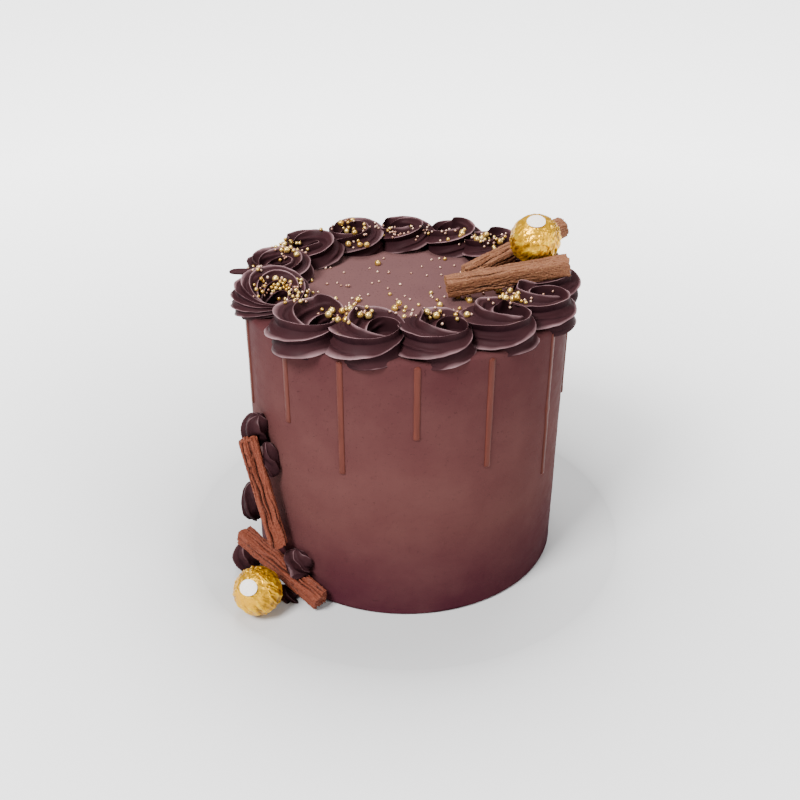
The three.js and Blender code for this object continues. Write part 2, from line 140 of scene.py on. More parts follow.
def signed_power(value: Array, power: float) -> Array:
    """Power of a value that keeps its sign."""
    return np.sign(value) * np.abs(value) ** power


def zigzag(phase: Array) -> Array:
    """Straight-sided wave, 1 where the phase is whole and 0 halfway between."""
    return np.abs(2 * (phase % 1.0) - 1)


def unit(vectors: Array) -> Array:
    """Vectors scaled to length 1."""
    return vectors / np.maximum(np.linalg.norm(vectors, axis=-1, keepdims=True), TINY)


def upward(first: Array, second: Array) -> Array:
    """How far a face that lies along two directions looks up, from -1 to 1."""
    normal = np.cross(first, second)
    return normal[..., 2] / (np.linalg.norm(normal, axis=-1) + TINY)


def hashed(cells: Array, seed: int) -> Array:
    """Repeatable random value from -1 to 1 for each whole-number cell.

    Args:
        cells: Whole numbers, three to a cell.
        seed: Chooses the field.

    Returns:
        One value to a cell.
    """
    mixed = np.bitwise_xor.reduce(cells * CELL_PRIMES, axis=1) ^ (seed * SEED_PRIME)
    mixed = (mixed & WORD) * MIXERS[0] & WORD
    mixed = (mixed ^ (mixed >> 15)) * MIXERS[1] & WORD
    return (mixed ^ (mixed >> 13)) / (WORD / 2) - 1


def field(points: Array, cell: float, seed: int) -> Array:
    """Smooth random field.

    Args:
        points: Places to read, three numbers each.
        cell: Size of its lumps.
        seed: Chooses the field.

    Returns:
        Values from -1 to 1.
    """
    shape = points.shape[:-1]
    scaled = points.reshape(-1, 3) / cell
    base = np.floor(scaled).astype(np.int64)
    share = eased(0, 1, scaled - base)
    total = np.zeros(len(scaled))
    for corner in itertools.product((0, 1), repeat=3):
        weight = np.prod(np.where(np.array(corner) == 1, share, 1 - share), axis=1)
        total += weight * hashed(base + np.array(corner), seed)
    return total.reshape(shape)


def layered_field(points: Array, cell: float, seed: int, layers: int) -> Array:
    """Random field with finer layers added, each half as large and half as strong."""
    return sum(field(points, cell / 2**layer, seed + layer) / 2**layer for layer in range(layers))


# ------------------------------------------------------------------ meshes


def grid_faces(rows: int, columns: int, closed_rows: bool) -> Array:
    """Quads of a grid whose columns close on themselves.

    Args:
        rows: Number of rows of points.
        columns: Points in a row.
        closed_rows: Whether the last row joins the first.

    Returns:
        Four point numbers to a face.
    """
    first = np.arange(rows if closed_rows else rows - 1)[:, None]
    across = np.arange(columns)[None, :]
    following = (first + 1) % rows
    beside = (across + 1) % columns
    corners = [
        first * columns + across,
        first * columns + beside,
        following * columns + beside,
        following * columns + across,
    ]
    return np.stack([np.broadcast_to(corner, (len(first), columns)) for corner in corners], -1).reshape(-1, 4)


@dataclass
class Shape:
    """Points in millimetres with their faces, and one value a point for the finish to read."""

    points: Array
    faces: list[list[int]]
    tone: Array | None = None

    def to_object(self, name: str, sharp_angle: float = 180.0) -> bpy.types.Object:
        """Makes a Blender object of the shape, with its faces turned outwards.

        Args:
            name: The piece's name.
            sharp_angle: Edges steeper than this many degrees stay sharp.

        Returns:
            The new object.
        """
        mesh = bpy.data.meshes.new(name)
        mesh.from_pydata((self.points * MM).tolist(), [], self.faces)
        if self.tone is not None:
            layer = mesh.attributes.new("tone", "FLOAT", "POINT")
            layer.data.foreach_set("value", self.tone.astype(np.float32))
        editable = bmesh.new()
        editable.from_mesh(mesh)
        bmesh.ops.recalc_face_normals(editable, faces=editable.faces)
        editable.to_mesh(mesh)
        editable.free()
        mesh.shade_smooth()
        if sharp_angle < 180:
            mesh.set_sharp_from_angle(angle=math.radians(sharp_angle))
        return add_object(name, mesh)

    def tree(self) -> BVHTree:
        """Search tree of the shape, in millimetres."""
        return BVHTree.FromPolygons(self.points.tolist(), self.faces)


def add_object(name: str, data: bpy.types.ID) -> bpy.types.Object:
    """Adds a new object with that mesh, light or camera to the scene."""
    made = bpy.data.objects.new(name, data)
    bpy.context.scene.collection.objects.link(made)
    return made


def joined(shapes: list[Shape]) -> Shape:
    """One shape of several.

    Args:
        shapes: Shapes that all have a tone, or all have none.

    Returns:
        The shapes together.
    """
    faces: list[list[int]] = []
    start = 0
    for shape in shapes:
        faces.extend([index + start for index in face] for face in shape.faces)
        start += len(shape.points)
    points = np.concatenate([shape.points for shape in shapes])
    tones = [shape.tone for shape in shapes if shape.tone is not None]
    return Shape(points, faces, np.concatenate(tones) if tones else None)


def lofted(rings: Array, tone: Array | None = None) -> Shape:
    """Closed shape through rings of points, with each end closed by one face.

    Args:
        rings: Rings of points, of shape rings by points by 3.
        tone: One value a point, if the finish reads one.

    Returns:
        The shape.
    """
    rows, columns = rings.shape[:2]
    faces = grid_faces(rows, columns, closed_rows=False).tolist()
    faces.append(list(range(columns)))
    faces.append(list(range((rows - 1) * columns, rows * columns)))
    return Shape(rings.reshape(-1, 3), faces, None if tone is None else tone.reshape(-1))


def ball(detail: int) -> tuple[Array, list[list[int]]]:
    """Points and faces of a ball of radius 1, made of even triangles."""
    editable = bmesh.new()
    bmesh.ops.create_icosphere(editable, subdivisions=detail, radius=1.0)
    points = np.array([vertex.co for vertex in editable.verts], float)
    faces = [[vertex.index for vertex in face.verts] for face in editable.faces]
    editable.free()
    return points, faces


def dress(piece: bpy.types.Object, material: Material, slot: Slot, *replaces: str) -> None:
    """Gives a piece its material and its place in the model, and logs it.

    Args:
        piece: The Blender object.
        material: Its finish.
        slot: The record's slot it takes its finish from; not used.
        replaces: Solids that it stands for.
    """
    piece.data.materials.clear()
    piece.data.materials.append(material)
    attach(piece, "root")
    if replaces:
        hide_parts(*replaces)
    LOG.info("%s: %d faces", piece.name, len(piece.data.polygons))


# ------------------------------------------------------------------ finishes


def linear(colour: str) -> tuple[float, float, float, float]:
    """Linear colour of an sRGB hex value such as #4a3330."""
    parts = [int(colour[start : start + 2], 16) / 255 for start in (1, 3, 5)]
    toned = [part / 12.92 if part <= 0.04045 else ((part + 0.055) / 1.055) ** 2.4 for part in parts]
    return toned[0], toned[1], toned[2], 1.0


def add_node(
    tree: bpy.types.NodeTree, kind: str, inputs: dict[str | int, object] | None = None, **settings: object
) -> bpy.types.Node:
    """Adds a shader node with its settings and links.

    Args:
        tree: The node tree.
        kind: The node's type, without its ShaderNode prefix.
        inputs: What goes in each socket: another node's output, or a plain value.
        settings: The node's own options.

    Returns:
        The new node.
    """
    node = tree.nodes.new(f"ShaderNode{kind}")
    for option, value in settings.items():
        setattr(node, option, value)
    for name, value in (inputs or {}).items():
        if isinstance(value, Socket):
            tree.links.new(value, node.inputs[name])
        else:
            node.inputs[name].default_value = value
    return node


def cells_per_metre(size: float) -> float:
    """Texture scale whose pattern repeats about every so many millimetres."""
    return 1 / (size * MM)


class Finish:
    """A material under construction: its tree, its surface shader and its object coordinates."""

    def __init__(self, name: str) -> None:
        """Starts an empty node material of that name."""
        self.material = bpy.data.materials.new(name)
        self.material.use_nodes = True
        self.tree = self.material.node_tree
        self.tree.nodes.clear()
        output = add_node(self.tree, "OutputMaterial")
        self.surface = add_node(self.tree, "BsdfPrincipled")
        self.tree.links.new(self.surface.outputs["BSDF"], output.inputs["Surface"])
        self.place = add_node(self.tree, "TexCoord").outputs["Object"]

    def set(self, **values: float | tuple[float, ...]) -> None:
        """Sets plain sockets of the surface shader, named with underscores for spaces."""
        for name, value in values.items():
            self.surface.inputs[name.replace("_", " ")].default_value = value

    def noise(self, size: float, detail: float = 3, stretch: Triple = (1, 1, 1)) -> Socket:
        """Noise pattern.

        Args:
            size: Size of its lumps in millimetres.
            detail: Number of finer layers.
            stretch: How many times longer the lumps are along each axis.

        Returns:
            Its value, from 0 to 1.
        """
        scale = tuple(1 / share for share in stretch)
        place = add_node(self.tree, "Mapping", {"Vector": self.place, "Scale": scale}).outputs[0]
        inputs = {"Vector": place, "Scale": cells_per_metre(size), "Detail": detail, "Roughness": 0.55}
        return add_node(self.tree, "TexNoise", inputs).outputs["Fac"]

    def tone(self) -> Socket:
        """The shape's own value at each point."""
        return add_node(self.tree, "Attribute", attribute_name="tone").outputs["Fac"]

    def height(self) -> Socket:
        """Height above the base in metres."""
        return add_node(self.tree, "SeparateXYZ", {"Vector": self.place}).outputs["Z"]

    def ranged(self, value: Socket, low: float, high: float, to_low: float, to_high: float) -> Socket:
        """Value moved from one range to another, and kept inside it."""
        inputs = {"Value": value, "From Min": low, "From Max": high, "To Min": to_low, "To Max": to_high}
        return add_node(self.tree, "MapRange", inputs).outputs["Result"]

    def uneven(self, size: float, low: float, high: float, detail: float = 3) -> Socket:
        """Noise whose middle range is spread between two values."""
        return self.ranged(self.noise(size, detail), 0.3, 0.7, low, high)

    def maths(self, operation: str, first: object, second: object) -> Socket:
        """Result of one sum on two values."""
        return add_node(self.tree, "Math", {0: first, 1: second}, operation=operation).outputs[0]

    def blend(self, share: Socket, first: Colour, second: Colour) -> Socket:
        """Colour between two colours.

        Args:
            share: How much of the second.
            first: Hex value or colour socket.
            second: Hex value or colour socket.

        Returns:
            The blended colour.
        """
        inputs: dict[str | int, object] = {"Fac": share}
        for name, colour in (("Color1", first), ("Color2", second)):
            inputs[name] = linear(colour) if isinstance(colour, str) else colour
        return add_node(self.tree, "MixRGB", inputs).outputs[0]

    def graded(
        self, value: Socket, low: float, high: float, first: Colour, second: Colour, most: float = 1
    ) -> Socket:
        """Colour that turns from the first to the second as a value goes from low to high.

        Args:
            value: The value that decides.
            low: Where the first colour ends.
            high: Where the second is strongest.
            first: Hex value or colour socket.
            second: Hex value or colour socket.
            most: Strongest share of the second.

        Returns:
            The graded colour.
        """
        return self.blend(self.ranged(value, low, high, 0, most), first, second)

    def colour(self, socket: Socket) -> None:
        """Uses a colour as the surface's base colour."""
        self.tree.links.new(socket, self.surface.inputs["Base Color"])

    def roughness(self, socket: Socket) -> None:
        """Uses a value as the surface's roughness."""
        self.tree.links.new(socket, self.surface.inputs["Roughness"])

    def relief(self, *layers: tuple[Socket, float]) -> None:
        """Adds bump.

        Args:
            layers: Height patterns, each with its depth in millimetres.
        """
        normal: object = None
        for height, depth in layers:
            inputs = {"Height": height, "Distance": depth * MM, "Strength": 1.0}
            if normal is not None:
                inputs["Normal"] = normal
            normal = add_node(self.tree, "Bump", inputs).outputs["Normal"]
        self.tree.links.new(normal, self.surface.inputs["Normal"])


@dataclass(frozen=True)
class ScrapedButtercream:
    """Milk chocolate buttercream, smoothed with a steel scraper while the cake turned."""

    # The low colour is painted shade towards the base, the shaded colour painted shade under the rosettes
    # near the top edge, and the high colour painted light on the top face.
    low: str = "#3d1a24"
    middle: str = "#4f2f2e"
    shaded: str = "#412325"
    high: str = "#5a3f3f"
    fat_bloom: str = "#6d4c46"
    mottle_size: float = 24.0
    scrape_size: float = 1.6
    pore_size: float = 1.1

    def make(self) -> Material:
        """Builds the material, smooth and satin with faint level scrape lines."""
        finish = Finish("scraped_milk_chocolate_buttercream")
        # Painted shade darkens the side towards the base and near the top edge under the rosettes, and
        # painted light makes the top face paler.
        lower = finish.graded(finish.height(), 0.0, 0.055, self.low, self.middle)
        upper = finish.graded(finish.height(), 0.09, 0.15, lower, self.shaded)
        base = finish.blend(finish.tone(), upper, self.high)
        # Butter fat takes the cocoa unevenly, so the colour drifts slowly.
        mottle = finish.noise(self.mottle_size)
        finish.colour(finish.graded(mottle, 0.35, 0.7, base, self.fat_bloom, most=0.14))
        finish.roughness(finish.uneven(self.mottle_size / 3, 0.42, 0.56))
        finish.set(IOR=1.4, Specular_IOR_Level=0.01)
        # The scraper drags level lines round the side, and leaves a few pinholes of air.
        scrape = finish.noise(self.scrape_size, 2, stretch=(22, 22, 1))
        pores = finish.ranged(finish.noise(self.pore_size, 1), 0.24, 0.32, 0, 1)
        finish.relief((scrape, 0.1), (pores, 0.25))
        return finish.material


@dataclass(frozen=True)
class PipedButtercream:
    """Dark chocolate buttercream, pressed through a steel star nozzle."""

    # The first colour is painted shade for the undersides, the last a painted highlight for upper faces and
    # ridges.
    underside_shade: str = "#16060b"
    body: str = "#301a1d"
    painted_highlight: str = "#927376"
    speckle_size: float = 3.5
    grain_size: float = 0.9
    ripple_size: float = 4.0

    def make(self) -> Material:
        """Builds the material, dark and satin, with painted highlights on upper faces and thin ridges and
        painted shade underneath.
        """
        finish = Finish("piped_dark_chocolate_buttercream")
        # Painted highlights make the upper faces and thin ridges greyish, and painted shade keeps the
        # undersides dark.
        tone = finish.tone()
        lower = finish.graded(tone, 0.0, 0.5, self.underside_shade, self.body)
        base = finish.graded(tone, 0.58, 1.0, lower, self.painted_highlight)
        finish.colour(finish.graded(finish.noise(self.speckle_size), 0.4, 0.75, base, self.body, most=0.25))
        finish.roughness(finish.ranged(tone, 0.1, 0.6, 0.8, 0.42))
        finish.set(IOR=1.47, Specular_IOR_Level=0.04)
        # Cocoa grains are finer than this, and are drawn coarser so that they show.
        finish.relief((finish.noise(self.grain_size), 0.06), (finish.noise(self.ripple_size, 2), 0.12))
        return finish.material


@dataclass(frozen=True)
class FoldedMilkChocolate:
    """Milk chocolate rolled thin and pushed up in folds while soft, so that its edges crumble."""

    name: str = "folded_milk_chocolate"
    # The cleft colour is painted shade, and the crumb colour serves as a painted highlight on raised edges as
    # well as for the random crumbs.
    cleft: str = "#341910"
    body: str = "#6d432e"
    crumb: str = "#a0744f"
    crumb_size: float = 0.8
    flake_size: float = 2.6

    def make(self) -> Material:
        """Builds the material, dull and dry, with pale crumbs, painted highlights on raised edges and painted
        shade in the clefts.
        """
        finish = Finish(self.name)
        tone = finish.tone()
        lower = finish.graded(tone, 0.0, 0.45, self.cleft, self.body)
        base = finish.graded(tone, 0.55, 1.0, lower, self.crumb, most=0.85)
        crumbs = finish.noise(self.crumb_size, 4)
        finish.colour(finish.graded(crumbs, 0.45, 0.7, base, self.crumb, most=0.45))
        finish.roughness(finish.uneven(2.0, 0.55, 0.78))
        finish.set(IOR=1.45, Specular_IOR_Level=0.2)
        finish.relief((crumbs, 0.3), (finish.noise(self.flake_size), 0.35))
        return finish.material


@dataclass(frozen=True)
class CrumpledGoldFoil:
    """Gold lacquered aluminium foil, wrapped by hand so that it is creased all over."""

    # The hollow colour is painted shade and the glint colour a painted glint.
    hollow_shade: str = "#9c6f08"
    lacquer: str = "#e0a406"
    painted_glint: str = "#fbd432"
    crinkle_size: float = 1.3
    dent_size: float = 2.4

    def make(self) -> Material:
        """Builds the material, bright yellow metal broken up by fine flat facets, with painted shade in the
        hollows and painted glints on the peaks.
        """
        finish = Finish("crumpled_gold_lacquered_foil")
        tone = finish.tone()
        lower = finish.graded(tone, 0.0, 0.5, self.hollow_shade, self.lacquer)
        finish.colour(finish.graded(tone, 0.75, 1.0, lower, self.painted_glint, most=0.5))
        finish.roughness(finish.uneven(3.0, 0.3, 0.4))
        finish.set(Metallic=0.78)
        inputs = {"Vector": finish.place, "Scale": cells_per_metre(self.crinkle_size)}
        cells = add_node(finish.tree, "TexVoronoi", inputs, feature="F1")
        finish.relief((cells.outputs["Distance"], 0.14), (finish.noise(self.dent_size, 2), 0.15))
        return finish.material


@dataclass(frozen=True)
class SugarPearlCoat:
    """Sugar ball tumbled in edible lustre, so that it shines like a soft metal."""

    name: str
    shade: str
    light: str
    metallic: float
    roughness: float

    def make(self) -> Material:
        """Builds the material, glossy with slightly uneven lustre from ball to ball."""
        finish = Finish(self.name)
        # The lustre powder takes unevenly, from ball to ball and across a ball.
        finish.colour(finish.graded(finish.noise(5.0, 2), 0.38, 0.62, self.shade, self.light))
        finish.roughness(finish.uneven(1.2, self.roughness - 0.05, self.roughness + 0.08))
        finish.set(Metallic=self.metallic, Coat_Weight=0.3, Coat_Roughness=0.2)
        finish.relief((finish.noise(0.7, 2), 0.02))
        return finish.material


@dataclass(frozen=True)
class SetDripChocolate:
    """Thinned milk chocolate that ran down the side and set."""

    edge: str = "#3f1c17"
    body: str = "#552a22"
    streak_size: float = 2.2

    def make(self) -> Material:
        """Builds the material, warmer and a little glossier than the buttercream."""
        finish = Finish("set_milk_chocolate_drip")
        # A run of chocolate carries long streaks downwards.
        streak = finish.noise(self.streak_size, 2, stretch=(1, 1, 8))
        finish.colour(finish.graded(streak, 0.3, 0.7, self.body, self.edge, most=0.6))
        finish.roughness(finish.uneven(4.0, 0.36, 0.48))
        finish.set(IOR=1.46, Specular_IOR_Level=0.1)
        finish.relief((finish.noise(3.0, 2, stretch=(1, 1, 5)), 0.12))
        return finish.material


@dataclass(frozen=True)
class StickerPaper:
    """Uncoated white paper, die-cut to a small oval."""

    face: str = "#f6efe9"
    fibre: str = "#e6dad2"
    fibre_size: float = 0.5

    def make(self) -> Material:
        """Builds the material, matt white with a faint fibre."""
        finish = Finish("die_cut_white_paper")
        # Paper fibres are about 0.03 mm wide, and are drawn coarser so that they show.
        fibre = finish.noise(self.fibre_size, 4)
        finish.colour(finish.graded(fibre, 0.4, 0.7, self.face, self.fibre))
        finish.roughness(finish.ranged(fibre, 0.3, 0.7, 0.55, 0.68))
        finish.set(IOR=1.5, Specular_IOR_Level=0.4)
        finish.relief((fibre, 0.03))
        return finish.material


@dataclass(frozen=True)
class BackdropPaper:
    """Seamless white backdrop paper that glows more further from the cake, painted light standing in for
    light thrown on it.
    """

    face: str = "#c8c8c8"
    cloudy: str = "#c4c4c5"
    cloud_size: float = 900.0
    lit_from: float = 130.0
    lit_to: float = 900.0
    glow: float = 3.2

    def make(self) -> Material:
        """Builds the material, plain and matt, with its painted glow."""
        finish = Finish("seamless_backdrop_paper")
        finish.colour(finish.blend(finish.uneven(self.cloud_size, 0, 0.15, detail=1), self.face, self.cloudy))
        finish.set(Roughness=0.9, Specular_IOR_Level=0.1, Emission_Color=linear("#ffffff"))
        # The glow is painted light: emission that rises with distance from the cake.
        reach = add_node(finish.tree, "VectorMath", {0: finish.place}, operation="LENGTH").outputs["Value"]
        lit = finish.maths("POWER", finish.ranged(reach, self.lit_from * MM, self.lit_to * MM, 0, 1), 0.6)
        glow = finish.maths("MULTIPLY", lit, self.glow)
        finish.tree.links.new(glow, finish.surface.inputs["Emission Strength"])
        return finish.material


# ------------------------------------------------------------------ spaces that frosting keeps out of


class Space(Protocol):
    """A space that another piece fills."""

    def cleared(self, points: Array) -> Array:
        """Points moved out of the space by the shortest fair way."""


@dataclass(frozen=True)
class DrumSpace:
    """The cake body's space."""

    radius: float = CAKE_RADIUS + 0.35
    height: float = CAKE_HEIGHT + 0.2

    def cleared(self, points: Array) -> Array:
        """Points inside the drum go up to its top or out to its side, whichever is nearer."""
        moved = points.copy()
        reach = np.hypot(points[..., 0], points[..., 1])
        inside = (reach < self.radius) & (points[..., 2] < self.height)
        to_top = self.height - points[..., 2]
        to_side = self.radius - reach
        rises = inside & (to_top <= to_side)
        moved[rises, 2] = self.height
        goes_out = inside & ~rises
        moved[goes_out, :2] *= (self.radius / np.maximum(reach[goes_out], TINY))[:, None]
        return moved


@dataclass(frozen=True)
class BallSpace:
    """A praline's space."""

    centre: Triple
    radius: float

    def cleared(self, points: Array) -> Array:
        """Points inside the ball go straight out from its centre."""
        offset = points - np.array(self.centre)
        distance = np.linalg.norm(offset, axis=-1, keepdims=True)
        outside = np.array(self.centre) + unit(offset) * self.radius
        return np.where(distance < self.radius, outside, points)


@dataclass(frozen=True)
class RodSpace:
    """A chocolate log's space."""

    start: Triple
    end: Triple
    radius: float
    overlap: float = 0.25

    def cleared(self, points: Array) -> Array:
        """Points inside the rod go straight out from its axis, and never over its top."""
        start = np.array(self.start)
        axis = np.array(self.end) - start
        length = float(np.linalg.norm(axis))
        axis = axis / length
        along = (points - start) @ axis
        foot = start + along[..., None] * axis
        offset = points - foot
        offset[..., 2] = np.minimum(offset[..., 2], self.overlap * self.radius)
        distance = np.linalg.norm(points - foot, axis=-1)
        inside = (distance < self.radius) & (along > -CLEARANCE) & (along < length + CLEARANCE)
        outside = foot + unit(offset) * self.radius
        return np.where(inside[..., None], outside, points)


@dataclass(frozen=True)
class FloorSpace:
    """What lies under the cake's base."""

    def cleared(self, points: Array) -> Array:
        """Points below the base come up to it."""
        moved = points.copy()
        moved[..., 2] = np.maximum(moved[..., 2], 0.0)
        return moved


def kept_clear(points: Array, spaces: list[Space]) -> Array:
    """Points moved out of each space in turn."""
    for space in spaces:
        points = space.cleared(points)
    return points


# ------------------------------------------------------------------ cake body and drips


@dataclass
class CakeBody:
    """The round cake under its smooth coat."""

    radius: float = CAKE_RADIUS
    height: float = CAKE_HEIGHT
    top_edge: float = 3.0
    base_edge: float = 1.0
    corner_start: float = 0.2
    middle: float = 0.02
    around: int = 288
    up: int = 96
    base_rings: int = 6
    corner_rings: int = 6
    top_rings: int = 40
    waviness: float = 0.16
    wave_length: float = 38.0
    level_stretch: float = 1.6
    # Across the top, where the painted shade under the rosettes begins and where it is full.
    shaded_from: float = 0.76
    shaded_to: float = 0.9
    seed: int = 401

    def outline(self) -> Array:
        """Radius and height of each ring, from the middle of the base up to the middle of the top."""
        inner = self.radius - self.top_edge
        lower = self.height - self.top_edge
        flat = self.radius - self.base_edge
        base = [(share * flat, 0.0) for share in np.linspace(self.middle, 1, self.base_rings)]
        side = [(self.radius, height) for height in np.linspace(self.base_edge, lower, self.up)]
        corner = [
            (inner + self.top_edge * math.cos(angle), lower + self.top_edge * math.sin(angle))
            for angle in np.linspace(self.corner_start, math.pi / 2, self.corner_rings)
        ]
        top = [(share * inner, self.height) for share in np.linspace(0.97, self.middle, self.top_rings)]
        return np.array(base + side + corner + top)

    def build(self) -> Shape:
        """Turns the outline and leaves the slow waves of hand scraping in it."""
        radius, height = np.split(self.outline(), 2, axis=1)
        angles = full_turn(self.around)
        flat = [radius * np.cos(angles), radius * np.sin(angles), np.repeat(height, self.around, axis=1)]
        rings = np.stack(flat, -1)
        places = rings * [1, 1, self.level_stretch]
        wave = self.waviness * layered_field(places, self.wave_length, self.seed, 2)
        level_top = rings[..., 2] > self.height - self.top_edge / 2
        outward = np.where(level_top[..., None], UP, unit(rings * [1, 1, 0]))
        moved = np.where(rings[..., 2:] > self.base_edge, outward * (wave - self.waviness)[..., None], 0)
        reach = np.hypot(rings[..., 0], rings[..., 1]) / self.radius
        # The tone paints light on the top face and falls to 0 over the rounded top edge, where the coat takes
        # the painted shade of the rosettes.
        return lofted(rings + moved, level_top * (1 - eased(self.shaded_from, self.shaded_to, reach)))

    def dress(self, shape: Shape) -> None:
        """Makes the piece and gives it its finish."""
        piece = shape.to_object("buttercream_coat", sharp_angle=50)
        dress(piece, ScrapedButtercream().make(), Slot.FROSTED_CAKE, "cake_body")


@dataclass(frozen=True)
class Drip:
    """One thin run of chocolate down the side."""

    azimuth: float
    length: float
    start: float = 2.0
    width: float = 3.3
    proud: float = 0.7
    sunk: float = 0.25
    end_length: float = 1.1
    bead_length: float = 2.6
    knot: float = 0.0
    knot_length: float = 2.2
    below_knot: float = 0.82
    bend: float = 0.0
    bend_length: float = 12.0
    rows: int = 72
    columns: int = 20

    def build(self, seed: int) -> Shape:
        """Lofts the run as flat rounded sections that end in a blunt bead.

        Args:
            seed: Chooses its small wobbles.

        Returns:
            The run's shape.
        """
        down = np.linspace(self.start, self.length, self.rows)
        places = np.stack([np.full(self.rows, self.azimuth), down, np.zeros(self.rows)], -1)
        wobble = field(places * [7.0, 1, 1], 9.0, seed)
        from_ends = np.minimum(self.length - down, down - self.start)
        blunt = np.sqrt(1 - (1 - np.clip(from_ends / self.end_length, 0, 1)) ** 2)
        bead = bump(down - self.length + 2.2, self.bead_length)
        knotted = self.knot > 0
        knot = knotted * bump(down - self.knot, self.knot_length)
        slim = np.where(knotted & (down > self.knot), self.below_knot, 1.0)
        half = self.width / 2 * slim * (1 + 0.07 * wobble + 0.06 * bead + 0.25 * knot) * (0.25 + 0.75 * blunt)
        depth = (self.proud * (1 + 0.3 * bead + 0.5 * knot) + self.sunk) * (0.1 + 0.9 * blunt)
        turn = full_turn(self.columns)
        bent = self.bend * eased(self.knot, self.knot + self.bend_length, down)
        side = half[:, None] * signed_power(np.cos(turn), 0.6) + bent[:, None]
        radius = CAKE_RADIUS - self.sunk + np.maximum(depth[:, None] * signed_power(np.sin(turn), 0.75), 0)
        angle = math.radians(self.azimuth) + side / CAKE_RADIUS
        height = np.broadcast_to((CAKE_HEIGHT - down)[:, None], angle.shape)
        return lofted(np.stack([radius * np.sin(angle), -radius * np.cos(angle), height], -1))


@dataclass
class DripSet:
    """All the runs round the side."""

    first_seed: int = 500
    drips: tuple[Drip, ...] = (
        Drip(-42.8, 47),
        Drip(-21.2, 67),
        Drip(3.5, 43),
        Drip(28, 65),
        Drip(57.5, 90, knot=48, bend=0.8),
        Drip(83, 58),
        Drip(108, 72),
        Drip(133, 40),
        Drip(158, 64),
        Drip(184, 51),
        Drip(211, 82),
        Drip(237, 46),
        Drip(263, 60),
        Drip(289, 56),
    )

    def build(self) -> Shape:
        """Joins the runs into one shape."""
        return joined([drip.build(seed) for seed, drip in enumerate(self.drips, self.first_seed)])

    def dress(self, shape: Shape) -> None:
        """Makes the piece and gives it its finish."""
        piece = shape.to_object("chocolate_drips", sharp_angle=60)
        dress(piece, SetDripChocolate().make(), Slot.DRIP_CHOCOLATE)


# ------------------------------------------------------------------ piped rosettes


@dataclass(frozen=True)
class Petal:
    """A stretch of one ridge that stands up where the nozzle pulled away."""

    turn: float
    climb: float
    height: float
    rise: float = 60.0
    fall: float = 14.0
    lean: float = 0.9


@dataclass(frozen=True)
class Tail:
    """A thin point of frosting left outside the ring."""

    azimuth: float
    rise: float
    length: float = 16.0
    radius: float = 2.1
    tone: float = 0.5
    rows: int = 28
    columns: int = 14

    def build(self) -> Shape:
        """Lofts the point, flattened and curved a little upwards."""
        share = np.linspace(0, 1, self.rows)
        reach = CAKE_RADIUS + 1 + self.length * (share - 0.5)
        height = CAKE_HEIGHT + self.rise + 0.7 * np.sin(2.2 * share) - 0.5 * share
        size = self.radius * (1 - share**8) ** 0.5 * (1 - 0.15 * share) + 0.1
        angle = full_turn(self.columns)
        outwards, onwards = level_axes(self.azimuth)
        across = 1.4 * size[:, None] * np.cos(angle)
        up = height[:, None] + 0.8 * size[:, None] * np.sin(angle)
        rings = reach[:, None, None] * outwards + across[..., None] * onwards + up[..., None] * UP
        return lofted(rings, np.full(rings.shape[:2], self.tone))


